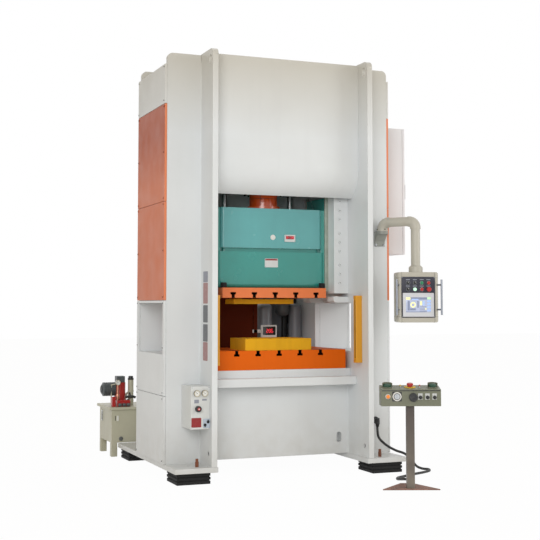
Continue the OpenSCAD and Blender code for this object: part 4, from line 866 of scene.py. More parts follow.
def makeScrews(s):
    low, high = boxOf("right_orange_covers")
    places = []
    for z, h in s["coverHeights"]:
        rows = int((h - 2 * s["coverEdge"]) // s["coverStep"])
        step = (h - 2 * s["coverEdge"]) / rows
        for side in (-1, 1):
            for y in (low[1] + s["coverEdge"], high[1] - s["coverEdge"]):
                for k in range(rows + 1):
                    place = at(side * high[0], y, z + s["coverEdge"] + k * step)
                    places.append((place, Vector((side, 0, 0))))
    makeBolts("cover_screws", places, boltSizes(*s["coverHead"], sides=12), blackOxide, "frame")
    low, high = boxOf("gib_bolts")
    gibLow, gibHigh = boxOf("gibs")
    rise = gibHigh[2] - gibLow[2]
    places = []
    first, groupStep, boltStep = s["gibRows"]
    for group in range(3):
        for bolt in range(3):
            z = gibLow[2] + rise * (first + groupStep * group + boltStep * bolt)
            for x in (low[0] + s["gibBolt"], high[0] - s["gibBolt"]):
                places += [(at(x, low[1], z), toFront), (at(x, high[1], z), toRear)]
    makeBolts("gib_bolt_sockets", places, boltSizes(*s["gibSocket"]), blackOxide, "frame")
    low, high = boxOf("gear_case")
    middle = at((low[0] + high[0]) / 2, high[1], (low[2] + high[2]) / 2)
    places = ringOf(middle, *s["caseRing"], toRear)
    makeBolts("case_bolts", places, boltSizes(9, 8, 13, 2), blackOxide, "frame")
    places = ringOf(middle + Vector((0, s["motorFlange"] * mm, 0)), *s["motorRing"], toRear)
    makeBolts("motor_bolts", places, boltSizes(8, 8, 12, 2), blackOxide, "frame")
    low, high = boxOf("plunger_guide")
    places = ringOf(at(0, 0, low[2]), *s["flangeRing"], Vector((0, 0, -1)))
    makeBolts("guide_bolts", places, boltSizes(9, 10), blackOxide, "frame")


makeScrews(screwSettings)

# Weld beads where the plates meet
weldSettings = {"bead": 6, "step": 5, "footTop": 136, "columnFront": -437, "apron": -332, "apronTop": 764}


def makeWelds(s):
    plateLow, plateHigh = boxOf("right_side_plate")
    columnTop = boxOf("right_column")[1][2]
    inner, outer = boxOf("bed")[1][0], plateHigh[0]
    footTop, front, columnFront, apron = s["footTop"], plateLow[1], s["columnFront"], s["apron"]
    edge = boxOf("right_orange_covers")[0][0]
    lines = []
    for side in (-1, 1):
        lines.append([at(side * outer, columnFront, footTop), at(side * edge, columnFront, footTop)])
        lines.append([at(side * outer, front + 10, footTop), at(side * outer, columnFront, footTop)])
        lines.append([at(side * inner, front + 10, footTop), at(side * inner, apron, footTop)])
        lines.append([at(side * inner, apron, footTop), at(side * inner, apron, s["apronTop"])])
        lines.append([at(side * outer, columnFront, footTop), at(side * outer, columnFront, columnTop - 60)])
    sizes = {"Bead Radius": s["bead"] * mm, "Ripple Step": s["step"] * mm}
    runTree("frame_welds", beadTree, lineMesh(lines), sizes, offWhite, "frame", 60)


makeWelds(weldSettings)
print("screws and welds made")

# Slide: bare plates, the plug, the counter's read-out and the rubber stops
slideSettings = {
    "plug": (5, 2085, 20),
    "plate": (-5, 1854, 127, 79),
    "stop": (476, 22, 52, 46),
    "seam": (98, 3),
    "joint": (-33, 2.4),
}


def makeSlideFittings(s):
    cover, body = boxOf("slide_cover"), boxOf("slide_body")
    onBox = facing(0, cover[0][1], 0)
    onHead = facing(0, body[0][1], 0)
    x, z, r = s["plug"]
    shape = bmesh.new()
    place = onBox @ moved(x, z)
    addLathe(shape, [(0, -1), (r + 4, -1), (r + 4, 3), (r, 4), (r, 9), (r - 3, 11), (8, 11), (8, 5), (0, 5)], place)
    finishShape(shape, "slide_plug", whitePlastic, "slide")
    x, z, w, h = s["plate"]
    makePlates("slide_plate_label", [(x, z, w, h)], (0, 1.6), onHead, plainPlate, "slide")
    makePlates("slide_plate_band", [(x, z + h / 2 - 10, w - 6, 14)], (1.5, 2), onHead, maroonPlate, "slide", 0.1)
    corners = [(x + u * (w / 2 - 8), z + v * (h / 2 - 8)) for u in (-1, 1) for v in (-1, 1)]
    places = [(onHead @ Vector((px * mm, pz * mm, 1.4 * mm)), toFront) for px, pz in corners]
    low, high = boxOf("stroke_counter")
    middle, level = (low[0] + high[0]) / 2, (low[2] + high[2]) / 2
    places += [(at(x, low[1], z), toFront) for x in (low[0] + 7, high[0] - 7)
        for z in (low[2] + 7, high[2] - 7)]
    makeBolts("slide_screws", places, boltSizes(3, 1.8, sides=12), platedSteel, "slide")
    onCounter = facing(middle, low[1], level)
    makePlates("counter_window", [(0, 6, 79, 28)], (-7, -6), onCounter, darkGlass, "slide", 0.2)
    digits = bmesh.new()
    addDigits(digits, "04728", -34, -5, 22, -6, onCounter)
    finishShape(digits, "counter_digits", redDigits, "slide")
    shape = bmesh.new()
    x, half, depth, high = s["stop"]
    plate = boxOf("slide_plate")[1][2]
    for side in (-1, 1):
        back = cover[0][1] - 4
        addBlock(shape, (side * x - half, back - depth, plate - 1), (side * x + half, back, plate + high), 6,
                 standing(0, 0, 0))
    finishShape(shape, "slide_stops", rubber, "slide")
    low, high = boxOf("plunger")
    seam = bmesh.new()
    ring = (high[0] - low[0]) / 2  # radius of the collar, 26 more than the plunger's
    addLathe(seam, [(ring - 30, 0), (ring - 25.4, 0), (ring - 25.4, s["seam"][1]), (ring - 30, s["seam"][1])],
             standing(0, 0, cover[1][2] + s["seam"][0]), 48)
    angle, wide = s["joint"]
    spot = standing(0, 0, 0) @ turnBy(angle)
    addBlock(seam, (-wide / 2, 23 - ring, cover[1][2] + 34), (wide / 2, 26.2 - ring, high[2] - 4), 0.4, spot)
    finishShape(seam, "plunger_seam", blackOxide, "plunger")


makeSlideFittings(slideSettings)

# Die space: light-curtain lenses, the red read-out on its arm, the pipes and the lubricator behind
dieSpaceSettings = {
    "readout": (242, 1223, 158, 118, 455),
    "pipes": [(280, 700, 1490), (616, 700, 1490)],
    "lubricator": (478, 700, 1359, 70),
    "post": (527, 760, 50),
}


def makeDieSpace(s):
    low, high = boxOf("light_curtains")
    lens, caps = bmesh.new(), bmesh.new()
    for side, turn in ((-1, 90), (1, -90)):
        inner = side * (high[0] - 62)
        place = facing(inner, low[1] + 25, 0, turn)
        addBlock(lens, (-9.5, low[2] + 40, -7), (9.5, high[2] - 40, -4), 0.6, place)
        for z in (low[2] - 1, high[2] - 27):
            addBlock(caps, (-26, z, -62.5), (26, z + 28, 1), 3, place)
    finishShape(lens, "curtain_lenses", darkGlass, "frame")
    finishShape(caps, "curtain_caps", curtainYellow, "frame")
    x, z, w, h, y = s["readout"]
    place = facing(x, y, z)
    shape = bmesh.new()
    addBlock(shape, (-w / 2, -h / 2, -30), (w / 2, h / 2, 0), 5, place)
    addBlock(shape, (-w / 2 - 82, -16, -42), (-w / 2 + 20, 16, -24), 2, place)
    finishShape(shape, "readout_case", whitePlastic, "frame")
    makePlates("readout_window", [(0, 4, w - 26, h - 36)], (0, 1), place, darkGlass, "frame", 0.2)
    digits = bmesh.new()
    addDigits(digits, "286", -30, -14, 34, 1, place)
    finishShape(digits, "readout_digits", redDigits, "frame")
    pipes = bmesh.new()
    for x, y, z in s["pipes"]:
        line = [at(x, y, z - 20), at(x, y, z + 60), at(x, y + 60, z + 110), at(x + 20, y + 160, z + 110),
            at(x + 20, y + 200, z + 60), at(x + 20, y + 228, z - 200)]
        addTube(pipes, smoothLine(line, 6), 15)
    finishShape(pipes, "reservoir_pipes", blackOxide, "frame")
    x, y, z, r = s["lubricator"]
    makeTurned("lubricator_bowl", machineGrey, "frame",
        [(0, 0), (r * 0.5, 4), (r * 0.85, 22), (r, 48), (r, 190), (r - 8, 200), (0, 200)], standing(x, y, z))
    x, y, w = s["post"]
    shape = bmesh.new()
    floor = boxOf("air_reservoirs")[0][2]
    addBlock(shape, (x - w / 2, y - w / 2, floor), (x + w / 2, y + w / 2, z + 260), 4, standing(0, 0, 0))
    addBlock(shape, (s["lubricator"][0] - 40, y - 90, z + 196), (x + w / 2, y + w / 2, z + 226), 3,
        standing(0, 0, 0))
    finishShape(shape, "lubricator_post", blackOxide, "frame")


makeDieSpace(dieSpaceSettings)
print("slide and die space fitted")

# Air panel on the left column
airSettings = {
    "gauges": (0.29, 0.7, 57),
    "gaugePlate": {"left": (66, 30), "right": (54, 13)},
    "maroon": (-868, 503, 85, 78),
    "valvePlate": (-781, 495, 57, 76),
}


def makeAirPanel(s):
    low, high = boxOf("air_panel")
    face = low[1] + 16
    place = facing(0, face, 0)
    width = high[0] - low[0]
    for name, share in (("left", s["gauges"][1]), ("right", s["gauges"][0])):
        x, z = high[0] - width * share, high[2] - s["gauges"][2]
        makeGauge("air_gauge_" + name, 26, facing(x, low[1], z), "frame")
        drop, rise = s["gaugePlate"][name]
        makePlates("gauge_plate_" + name, [(x, z - drop, 40, rise)], (0, 1.2), place, legendGrey, "frame", 0.3)
    makePlates("air_maroon_plate", [s["maroon"]], (0, 2), place, maroonPlate, "frame")
    x, z = s["valvePlate"][:2]
    makePlates("air_valve_plate", [s["valvePlate"]], (0, 6), place, valvePlate, "frame", 1.5)
    ports = bmesh.new()
    for side in (-1, 1):
        spot = place @ moved(x + side * 13, z + side * 12)
        addLathe(ports, [(0, 5), (12, 5), (12, 10), (10, 12), (5, 12), (5, 7), (0, 7)], spot, 20)
        addBlock(ports, (-4, 6 if side > 0 else -18, 5), (4, 18 if side > 0 else -6, 13), 1.5, spot)
    finishShape(ports, "air_ports", blackOxide, "frame")
    knobLow, knobHigh = boxOf("regulator_knob")
    spot = facing((knobLow[0] + knobHigh[0]) / 2, knobLow[1], (knobLow[2] + knobHigh[2]) / 2)
    shape = bmesh.new()
    addLathe(shape, [(0, -1), (13, -1), (12, 2), (0, 3)], spot, 28)
    addBlock(shape, (-1.2, 13.5, -0.6), (1.2, 21, 0.8), 0.2, spot)
    finishShape(shape, "regulator_cap", redPlastic, "regulator_knob")
    makeTurned("regulator_mark", whitePlastic, "regulator_knob",
        [(0, 2.4), (5, 2.4), (5, 3.4), (3, 4), (0, 4)], spot, 20)
    places = [(place @ Vector((x * mm, z * mm, 0)), toFront)
              for x in (low[0] + 10, high[0] - 10) for z in (low[2] + 10, high[2] - 10)]
    makeBolts("air_panel_screws", places, boltSizes(4, 2.5, sides=12), platedSteel, "frame")


makeAirPanel(airSettings)

# Bare plates on the outer face of the left side plate, and dark plugs in the tie holes
plateStrip = {
    "middle": -576,
    "width": 118,
    "rows": {legendGrey: [(1713, 92)], roseStrip: [(1574, 176), (1083, 156)], slateStrip: [(1400, 146), (1239, 146)]},
}
plugSettings = {"inset": 90, "height": 237, "radius": 21.6, "depth": 22}


def makeSidePlates(s):
    face = facing(boxOf("left_side_plate")[0][0], 0, 0, -90)
    for material, rows in s["rows"].items():
        plates = [(-s["middle"], z, s["width"], h) for z, h in rows]
        makePlates("bare_plates_" + material.name, plates, (0, 1.6), face, material, "frame")


def makePlugs(s):
    shape = bmesh.new()
    r = s["radius"]
    for node, turn in (("left_side_plate", -90), ("right_side_plate", 90)):
        low, high = boxOf(node)
        for y in (low[1] + s["inset"], high[1] - s["inset"]):
            spot = facing(low[0] + s["depth"] if turn < 0 else high[0] - s["depth"], y, s["height"], turn)
            addLathe(shape, [(0, -12), (r, -12), (r, 12), (r - 3, 14), (r - 6, 12), (0, 12)], spot, 28)
    finishShape(shape, "tie_hole_plugs", rubber, "frame")


makeSidePlates(plateStrip)
makePlugs(plugSettings)
print("air panel and plates made")

# Pendant: face film, bezel rings, legend strips, screen, and the seams of its corner profiles
pendantSettings = {
    "size": (372, 180, 446),
    "corner": 30,
    "turn": -16,
    "pitch": (62, 57),
    "topRow": 127,
    "plateOut": 3,
    "film": (304, 362, 284),
    "screen": (-67, 224, 132, 5),
    "opening": 107,
    "seam": (172, 148, 0.9),
}


def makePendant(s):
    w, d, h = s["size"]
    centre = pivots["pendant_turn"] - Vector((0, 0, h / 2 * mm))
    box = Matrix.Translation(centre) @ turnBy(s["turn"])
    face = box @ moved(0, -d / 2) @ turnBy(90, "X")
    outward = face.to_3x3() @ upward
    out = s["plateOut"]
    controls = [((column - 1.5) * s["pitch"][0], s["topRow"] - row * s["pitch"][1]) for row in (0, 1)
        for column in range(4)]
    film, rings, legends = bmesh.new(), bmesh.new(), bmesh.new()
    wide, high, gap = s["film"]
    middle, screenWide, screenHigh, level = s["screen"]
    bottom, split = middle - s["opening"], middle + s["opening"]
    thick = (out - 0.5, out + 0.25)
    addBlock(film, (-wide / 2, split, thick[0]), (wide / 2, high / 2, thick[1]), 0.1, face)
    addBlock(film, (-wide / 2, -high / 2, thick[0]), (wide / 2, bottom, thick[1]), 0.1, face)
    for side in (-1, 1):
        ends = sorted((side * wide / 2, side * gap / 2))
        addBlock(film, (ends[0], bottom, thick[0]), (ends[1], split, thick[1]), 0.1, face)
    for x, z in controls:
        spot = face @ moved(x, z, out)
        addLathe(rings, [(15.6, 0), (17.8, 0), (17.8, 2.6), (16.8, 3.8), (15.6, 3.8), (15.6, 0)], spot, 32)
        addPrism(legends, [(x + u, z + 29 + v) for u, v in roundedOutline(36, 7, 1.5)], out, out + 0.9, face)
    finishShape(film, "pendant_film", navyPlate, "pendant")
    finishShape(rings, "pendant_rings", platedSteel, "pendant")
    finishShape(legends, "pendant_legends", legendGrey, "pendant")
    fields = {
        "pale": (screenPale, [(0, 0, screenWide, screenHigh, 0.0)]),
        "slate": (screenSlate, [
            (4, 56, 150, 20, 0.5), (-18, -62, 188, 6, 0.5), (-88, -8, 20, 84, 0.5), (-50, -40, 52, 18, 0.5),
            (-4, 4, 14, 60, 0.5), *((42, -16 - 13 * k, 60, 4, 0.5) for k in range(4))]),
        "blue": (screenBlue, [
            *((96, 32 - 27 * k, 32, 17, 0.5) for k in range(4)), (46, 14, 16, 40, 0.5), (-30, 48, 60, 10, 0.7)]),
        "yellow": (screenYellow, [(-92, 56, 40, 20, 0.6), (24, 14, 17, 36, 0.5), (66, -36, 12, 14, 0.7)]),
        "green": (screenGreen, [(96, 57, 32, 18, 0.6)]),
    }
    for name, (material, areas) in fields.items():
        shape = bmesh.new()
        for u, v, fieldWide, fieldHigh, lift in areas:
            low = (u - fieldWide / 2, middle + v - fieldHigh / 2, level - 0.4)
            addBlock(shape, low, (u + fieldWide / 2, middle + v + fieldHigh / 2, level + 0.2 + lift), 0.15, face)
        if name == "yellow":
            addLathe(shape, [(14, 0), (25, 0), (25, 0.9), (14, 0.9), (14, 0)], face @ moved(-48, middle, level))
        finishShape(shape, "screen_" + name, material, "pendant")
    places = [(face @ Vector((u * (wide / 2 - 7) * mm, v * (high / 2 - 7) * mm, out * mm)), outward) for u in (-1, 1)
        for v in (-1, 1)]
    makeBolts("pendant_screws", places, boltSizes(2.6, 1.2, sides=12), platedSteel, "pendant")
    for node, k in {"mode_selector": 0, "key_selector": 1, "lamp_selector": 4}.items():
        x, z = controls[k]
        shape = bmesh.new()
        addBlock(shape, (x - 1.3, z + 1, out + 24.2), (x + 1.3, z + 9, out + 25.2), 0.3, face)
        finishShape(shape, node + "_pointer", whitePlastic, node)
    level, aside, thin = s["seam"]
    flat, r = w / 2 - s["corner"], s["corner"]
    corner = [(flat + r * math.sin(t), -d / 2 + r - r * math.cos(t)) for t in [math.pi / 2 * k / 6 for k in range(7)]]
    seams = bmesh.new()
    for side in (-1, 1):
        for end in (-1, 1):
            line = [(flat - 3, -d / 2)] + corner + [(w / 2, d / 2 - r)]
            addTube(seams, [box @ Vector((side * x * mm, y * mm, end * level * mm)) for x, y in line], thin, 8)
            rise = [(-d / 2, high / 2 + 2), (-d / 2, h / 2 - 4), (-d / 2 + 4, h / 2), (d / 2 - 8, h / 2)]
            addTube(seams, [box @ Vector((side * aside * mm, y * mm, end * z * mm)) for y, z in rise], thin, 8)
    finishShape(seams, "pendant_seams", blackPlastic, "pendant")


makePendant(pendantSettings)
print("pendant fitted")

# Bolts of the arm's bracket and clamp screws of its swivel
armSettings = {"screwRing": (50, 4, 16)}


def makeArmFittings(s):
    low, high = boxOf("arm_bracket")
    places = [(at(x, high[1] - 14, low[2] + 14), toFront) for x in (low[0] + 12, high[0] - 12)]
    makeBolts("bracket_bolts", places, boltSizes(7, 6, 10, 1.5), platedSteel, "frame")
    pivot = pivots["arm_swing"]
    radius, count, rise = s["screwRing"]
    middle = pivot + Vector((0, 0, rise * mm))
    places = [(p, (p - middle).normalized()) for p, _ in ringOf(middle, radius, count, upward)]
    makeBolts("clamp_screws", places, boltSizes(5, 5), blackOxide, "pendant_arm")


makeArmFittings(armSettings)

# Console on the stand
consoleSettings = {
    "place": (658, -1564),
    "turn": -21,
    "bottom": 666,
    "depth": 150,
    "frontHeight": 134,
    "rearHeight": 158,
    "width": 480,
    "keyLevel": 743,
    "selectorDrop": 6,
    "palm": 183,
    "lamp": 53,
    "key": 126,
    "selector": (53, 57),
    "pilot": 78,
}


def makeConsole(s):
    stand = standing(*s["place"], 0) @ turnBy(s["turn"])
    front = stand @ moved(0, -s["depth"] / 2) @ turnBy(90, "X")
    slope = math.atan((s["rearHeight"] - s["frontHeight"]) / s["depth"])
    middle = s["bottom"] + (s["frontHeight"] + s["rearHeight"]) / 2
    top = stand @ moved(0, 0, middle) @ Matrix.Rotation(slope, 4, "X")
    level, half = s["keyLevel"], s["width"] / 2
    strip = bmesh.new()
    lip = s["bottom"] + s["frontHeight"]
    addBlock(strip, (-half + 6, lip - 14, 0), (half - 6, lip - 7, 1.5), 0.4, front)
    addPrism(strip, [(-half + s["key"] + u, level + v) for u, v in roundedOutline(76, 76, 4)], 0, 1.2, front)
    right, step = s["selector"]
    columns = [half - right - step * k for k in range(4)]
    buzzer = front @ moved(columns[3], level - s["selectorDrop"])
    addLathe(strip, [(0, 19), (32.6, 19), (32.6, 8), (33, 6), (33, 0), (35, 0), (35, 8), (33.6, 22), (10, 22.5),
        (10, 20.5), (0, 20.5)], buzzer)
    for x in columns[:3]:
        spot = front @ moved(x, level - s["selectorDrop"])
        addLathe(strip, [(0, 14), (11, 14), (11.3, 10), (15, 10), (15, 14.6), (13, 17), (0, 17)], spot, 28)
        addBlock(strip, (-3, -14, 16), (3, 14, 27), 1.5, spot)
    finishShape(strip, "console_black_fittings", blackPlastic, "frame")
    plates = [(x, level, 36, 50) for x in columns[:3]]
    makePlates("console_legends", plates, (0, 1.1), front, plainPlate, "frame", 0.3)
    lamp = front @ moved(-half + s["lamp"], level)
    rings = bmesh.new()
    key = front @ moved(-half + s["key"], level)
    addLathe(rings, [(27, 1.2), (36, 1.2), (36, 4), (33, 7), (27, 7), (27, 1.2)], key, 36)
    addLathe(rings, [(15.4, 0), (20, 0), (20, 6), (18, 8), (15.4, 8), (15.4, 0)], lamp, 28)
    finishShape(rings, "console_rings", whitePlastic, "frame")
    makeTurned("console_lamp_lens", orangeLens, "frame",
        [(0, 15), (15.3, 15), (15.6, 17), (15, 21), (11, 25), (0, 27)], lamp, 28)
    ring = bmesh.new()
    addLathe(ring, [(21.5, 1.6), (47, 1.6), (47, 3.2), (45, 4.6), (21.5, 4.6), (21.5, 1.6)], top, 40)
    bases, redCap = bmesh.new(), bmesh.new()
    for side, cap in ((-1, ring), (1, redCap)):
        spot = top @ moved(side * s["pilot"], 0)
        addLathe(bases, [(0, 0), (10, 0), (10, 2), (8, 4), (8, 12), (0, 12)], spot, 24)
        addLathe(cap, [(0, 12), (7.2, 12), (7.2, 17), (5, 20), (0, 21)], spot, 24)
    finishShape(bases, "console_pilot_bases", platedSteel, "frame")
    finishShape(redCap, "console_pilot_red", redPlastic, "frame")
    finishShape(ring, "console_stop_ring", yellowPlastic, "frame")
    normal = top.to_3x3() @ upward
    places = [(top @ Vector((u * (half - 8) * mm, v * (s["depth"] / 2 - 10) * mm, 0)), normal) for u in (-1, 1)
        for v in (-1, 1)]
    makeBolts("console_screws", places, boltSizes(4.2, 2.4, sides=12), platedSteel, "frame")
    for side, node in ((-1, "left_palm_button"), (1, "right_palm_button")):
        shape = bmesh.new()
        spot = top @ moved(side * s["palm"], 0)
        addLathe(shape, [(0, 26), (24, 26.2), (22, 27.6), (12, 29), (0, 29.4)], spot, 32)
        finishShape(shape, node + "_cap", darkGreenPlastic, node)


makeConsole(consoleSettings)
print("console fitted")

# Cable gland: ribbed nut and sleeve where the cable leaves the press
glandSettings = {"place": (924, -477, 400), "radius": 20.6, "length": 34}


def makeGlandRibs(s):
    x, y, z = s["place"]
    runTree("gland_ribs", ringTree, lineMesh([[at(x, y, z + 3), at(x, y, z + s["length"])]]),
            {"Ring Radius": s["radius"] * mm, "Rib Radius": 1.3 * mm, "Rib Step": 4 * mm}, blackPlastic, "frame")
    makeTurned("gland_sleeve", rubber, "frame",
        [(11.4, -26), (13, -26), (16, -6), (20, 0), (20, 2), (11.4, 2), (11.4, -26)], standing(x, y, z), 28)


makeGlandRibs(glandSettings)

# Hydraulic unit: gauge, filter cap, valves, sight glass, filler plate and drain
hydraulicSettings = {
    "gauge": (-1050, 1240, 713, 26),
    "filter": (-882, 1382, 735),
    "lever": 566,
    "return": 600,
    "rod": (-1092, 1330, 690),
    "rodEnd": (-1010, 1350),
    "filler": (-1073, 371, 57, 78),
    "drain": (-1028, 172, 17),
    "sight": (1560, 369, 34, 104),
    "lid": 478,
    "tank": (-1122, 1182),
    "valves": (-1058, 42),
    "pumpRing": ((-993, 1382), 65, 6),
    "motorAxis": 641,
}


def makeHydraulics(s):
    pump = boxOf("oil_pump")
    lid = s["lid"]
    x, y, z, r = s["gauge"]
    makeGauge("oil_gauge", r, facing(x, y - 12, z), "frame")
    makeTurned("oil_gauge_case", platedSteel, "frame",
        [(0, 0), (r - 1, 0), (r, 3), (r, 20), (r - 6, 24), (0, 24)], facing(x, y - 12, z) @ moved(0, 0, -24))
    stem = bmesh.new()
    addTube(stem, [at(x, y, lid + 60), at(x, y, z - r + 2)], 9)
    foot = standing(x, y, lid + 76)
    addLathe(stem, [(0, 0), (15, 0), (17, 4), (17, 44), (15, 48), (0, 48)], foot, 24)
    finishShape(stem, "oil_gauge_stem", copper, "frame")
    x, y, z = s["filter"]
    cap = bmesh.new()
    addLathe(cap, [(0, -6), (30, -6), (30, 8), (24, 12), (24, 26), (20, 31), (0, 32)], standing(x, y, z), 28)
    lever, back = s["lever"], s["return"]
    line = [at(x + dx, y - 60, lever + dz) for dx, dz in ((-66, -6), (-40, 0), (6, 0), (34, -10))]
    addTube(cap, smoothLine(line, 4), 13)
    addTube(cap, [at(x - 16, y - 60, lever), at(x - 16, y - 20, back)], 8)
    finishShape(cap, "filter_cap_and_lever", blackPlastic, "frame")
    bands = bmesh.new()
    for rise in (40, 130):
        addLathe(bands, [(28.2, 0), (30.5, 1), (30.5, 13), (28.2, 14), (28.2, 0)],
            standing(x, y, lid + rise), 32)
    pipe = [at(x, y + 28, back), at(x, y + 70, back), at(x - 20, y + 110, back - 30), at(x - 30, y + 120, lid - 2)]
    addTube(bands, smoothLine(pipe, 6), 11)
    px, py, tip = s["rod"]
    addTube(bands, [at(px, py, lid - 2), at(px, py, tip)], 6)
    line = [at(px, py, tip - 6), at(px + 40, py, tip + 2), at(*s["rodEnd"], tip)]
    addTube(bands, smoothLine(line, 4), 6)
    finishShape(bands, "oil_pipes", tankPaint, "frame")
    block = facing(0, pump[0][1], 0)
    valves = bmesh.new()
    left, step = s["valves"]
    for k in range(3):
        addBlock(valves, (left + 6 + step * k, lid + 6, 0), (left + 38 + step * k, lid + 34, 26), 3, block)
        addLathe(valves, [(0, 26), (9, 26), (9, 34), (7, 36), (0, 36)],
            block @ moved(left + 22 + step * k, lid + 20), 20)
    finishShape(valves, "valve_solenoids", machineGrey, "frame")
    places = [(at(left + u, pump[0][1] + v, lid + 62), upward) for u in (14, 116) for v in (14, 56)]
    spot, radius, count = s["pumpRing"]
    places += ringOf(at(*spot, lid + 16), radius, count, upward)
    makeBolts("pump_bolts", places, boltSizes(6, 6, 9, 1.5), blackOxide, "frame")
    tankFront = facing(0, s["tank"][1], 0)
    x, z, w, h = s["filler"]
    makePlates("filler_plate", [(x, z, w, h)], (0, 3), tankFront, tankPaint, "frame", 1)
    shape = bmesh.new()
    addPrism(shape, [(x + 9 + u, z + v) for u, v in roundedOutline(18, 52, 8.5)], 3, 14, tankFront, 2)
    finishShape(shape, "filler_handle", whitePlastic, "frame")
    makePlates("filler_slot", [(x - 12, z, 7, 48)], (3, 4), tankFront, blackPlastic, "frame", 0.2)
    x, z, r = s["drain"]
    spot = tankFront @ moved(x, z)
    makeTurned("drain_plug", machineGrey, "frame",
        [(0, 0), (r + 6, 0), (r + 6, 4), (r, 6), (r, 14), (r - 4, 17), (0, 17)], spot, 6)
    y, z, w, h = s["sight"]
    tankLeft = facing(s["tank"][0], y, z, -90)
    makePlates("sight_frame", [(0, 0, w, h)], (0, 9), tankLeft, platedSteel, "frame", 2)
    makePlates("sight_glass", [(0, 0, w - 14, h - 24)], (8, 10), tankLeft, darkGlass, "frame", 0.3)
    motor = boxOf("pump_motor")
    middle = at(motor[0][0], (motor[0][1] + motor[1][1]) / 2, s["motorAxis"])
    line = [middle + Vector((-3 * mm, 0, 0)), middle + Vector((-2 * mm, 0, 0))]
    sizes = {"Ring Radius": 34 * mm, "Rib Radius": 3 * mm, "Rib Step": 2 * mm}
    runTree("pump_fan_grille", ringTree, lineMesh([line]), sizes, blackPlastic, "frame")


makeHydraulics(hydraulicSettings)
print("hydraulic unit fitted")

# Rear drive: fan grille and lifting eye of the servo motor; latch, bare plate and gasket of the cabinet
driveSettings = {
    "grilleRings": (50, 80, 110, 140, 170),
    "spokes": (6, 174),
    "eye": (250, 44, 26, 7),
    "latch": (43, 34, 168, 8),
    "plate": (290, 190, 150, 90),
    "gasket": (6, 574, 8),
}


def makeDriveFittings(s):
    low, high = boxOf("servo_motor")
    centre = (low[0] + high[0]) / 2
    case = boxOf("gear_case")
    axis = (case[0][2] + case[1][2]) / 2
    rear = facing(centre, high[1], axis, 180)
    shape = bmesh.new()
    for r in s["grilleRings"]:
        addLathe(shape, [(r - 4, -1), (r + 4, -1), (r + 4, 4), (r - 4, 4), (r - 4, -1)], rear, 48)
    count, reach = s["spokes"]
    for k in range(count):
        addBlock(shape, (-4, 0, -1), (4, reach, 5), 1, rear @ turnBy(60 * k))
    finishShape(shape, "servo_fan_grille", blackOxide, "frame")
    back, rise, r, bar = s["eye"]
    top = at(centre, low[1] + back, high[2] - 1)
    shape = bmesh.new()
    addLathe(shape, [(0, 0), (18, 0), (18, 8), (9, 12), (9, 20), (0, 20)], Matrix.Translation(top), 24)
    ring = [top + Vector((math.cos(a) * r * mm, 0, (rise + math.sin(a) * r) * mm))
        for a in [2 * math.pi * k / 24 for k in range(25)]]
    addTube(shape, ring, bar)
    finishShape(shape, "servo_lifting_eye", blackOxide, "frame")
    door = boxOf("cabinet_door")
    side = facing(door[1][0] - 26, 0, 0, 90)
    level = (door[0][2] + door[1][2]) / 2
    front = door[0][1]
    latch = bmesh.new()
    x, *outline = s["latch"]
    addPrism(latch, [(front + x + u, level + v) for u, v in roundedOutline(*outline)], 0, 5, side, 1.5)
    finishShape(latch, "cabinet_latch_plate", blackPlastic, "cabinet_door")
    x, drop, w, h = s["plate"]
    plates = [(front + x, door[1][2] - drop, w, h)]
    makePlates("cabinet_bare_plate", plates, (0, 1.6), side, plainPlate, "cabinet_door")
    body = boxOf("cabinet_body")
    gasket = bmesh.new()
    inner = facing(door[0][0], 0, 0, 90)
    inset, reach, wide = s["gasket"]
    for y in (front + inset, front + (reach - wide)):
        addBlock(gasket, (y, body[0][2] + inset, -2), (y + wide, body[1][2] - inset, 0.6), 0.4, inner)
    for z in (body[0][2] + inset, body[1][2] - (inset + wide)):
        addBlock(gasket, (front + inset, z, -2), (front + reach, z + wide, 0.6), 0.4, inner)
    finishShape(gasket, "cabinet_gasket", rubber, "cabinet_door")


makeDriveFittings(driveSettings)
print("drive and cabinet fitted")


# Studio: pale floor, white surroundings and soft light
studioSettings = {
    "floorColour": "#F2F1EF",
    "floorSeen": 0.975,
    "skyLight": 0.5,
    "skyTone": "#FFF6E6",
    "lamps": {
        "keyLamp": ((-5.0, -9.0, 3.8), (0.0, 0.0, 1.6), 5.0, 375.0),
        "fillLamp": ((8.0, -6.0, 3.8), (0.0, 0.0, 1.5), 5.0, 250.0),
        "topLamp": ((0.0, 1.0, 8.5), (0.0, 0.0, 1.5), 6.0, 60.0),
    },
}


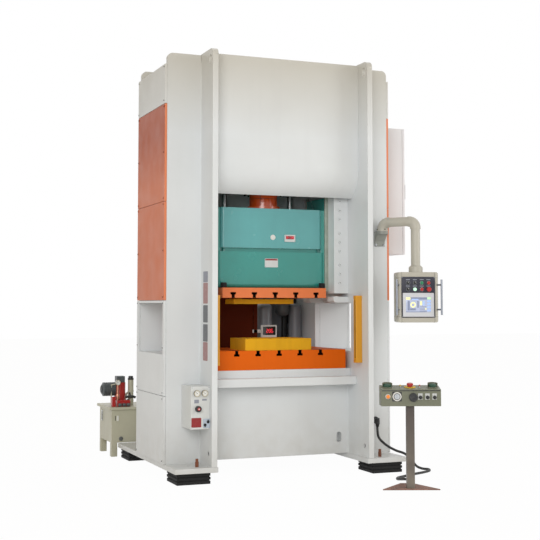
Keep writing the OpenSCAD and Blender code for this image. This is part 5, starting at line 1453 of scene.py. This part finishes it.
def seenDirectly(tree):  # 1 for what the eye, a mirror or glass sees, 0 for light on the object
    path = addNode(tree, "ShaderNodeLightPath").outputs
    first = addNode(tree, "ShaderNodeMath", {0: path["Is Camera Ray"], 1: path["Is Transmission Ray"]},
        operation="MAXIMUM")
    return addNode(tree, "ShaderNodeMath", {0: first.outputs[0], 1: path["Is Glossy Ray"]},
        operation="MAXIMUM").outputs[0]


def areaLamp(name, place, target, size, power):
    data = bpy.data.lights.new(name, "AREA")
    data.shape = "DISK"
    data.size = size
    data.energy = power
    lamp = addObject(name, data)
    lamp.location = place
    lamp.rotation_euler = (Vector(target) - Vector(place)).to_track_quat("-Z", "Y").to_euler()


def makeStudio(s):
    white = (1.0, 1.0, 1.0, 1.0)
    world = bpy.data.worlds.new("whiteRoom")
    bpy.context.scene.world = world
    tree = emptyNodes(world)
    limits = {"To Min": s["skyLight"], "To Max": 1.0}
    seen = seenDirectly(tree)
    strength = addNode(tree, "ShaderNodeMapRange", {"Value": seen, **limits})
    tone = addNode(tree, "ShaderNodeMix", {0: seen, 6: srgb(s["skyTone"]), 7: white}, data_type="RGBA")
    sky = addNode(tree, "ShaderNodeBackground", {"Color": tone.outputs[2], "Strength": strength.outputs[0]})
    addNode(tree, "ShaderNodeOutputWorld", {"Surface": sky.outputs[0]})
    shape = bmesh.new()
    bmesh.ops.create_grid(shape, x_segments=1, y_segments=1, size=40.0)
    mesh = asMesh(shape, "studio_floor")
    floor = addObject("studio_floor", mesh)
    material = bpy.data.materials.new("pale_floor")
    tree = emptyNodes(material)
    matte = addNode(tree, "ShaderNodeBsdfDiffuse", {"Color": srgb(s["floorColour"])})
    glow = addNode(tree, "ShaderNodeEmission", {"Color": white, "Strength": 1.0})
    share = addNode(tree, "ShaderNodeMath", {0: seenDirectly(tree), 1: s["floorSeen"]}, operation="MULTIPLY")
    both = addNode(tree, "ShaderNodeMixShader", {0: share.outputs[0], 1: matte.outputs[0], 2: glow.outputs[0]})
    addNode(tree, "ShaderNodeOutputMaterial", {"Surface": both.outputs[0]})
    mesh.materials.append(material)
    for name, lamp in s["lamps"].items():
        areaLamp(name, *lamp)


makeStudio(studioSettings)
bpy.context.scene.view_settings.view_transform = "Standard"
print("studio made")
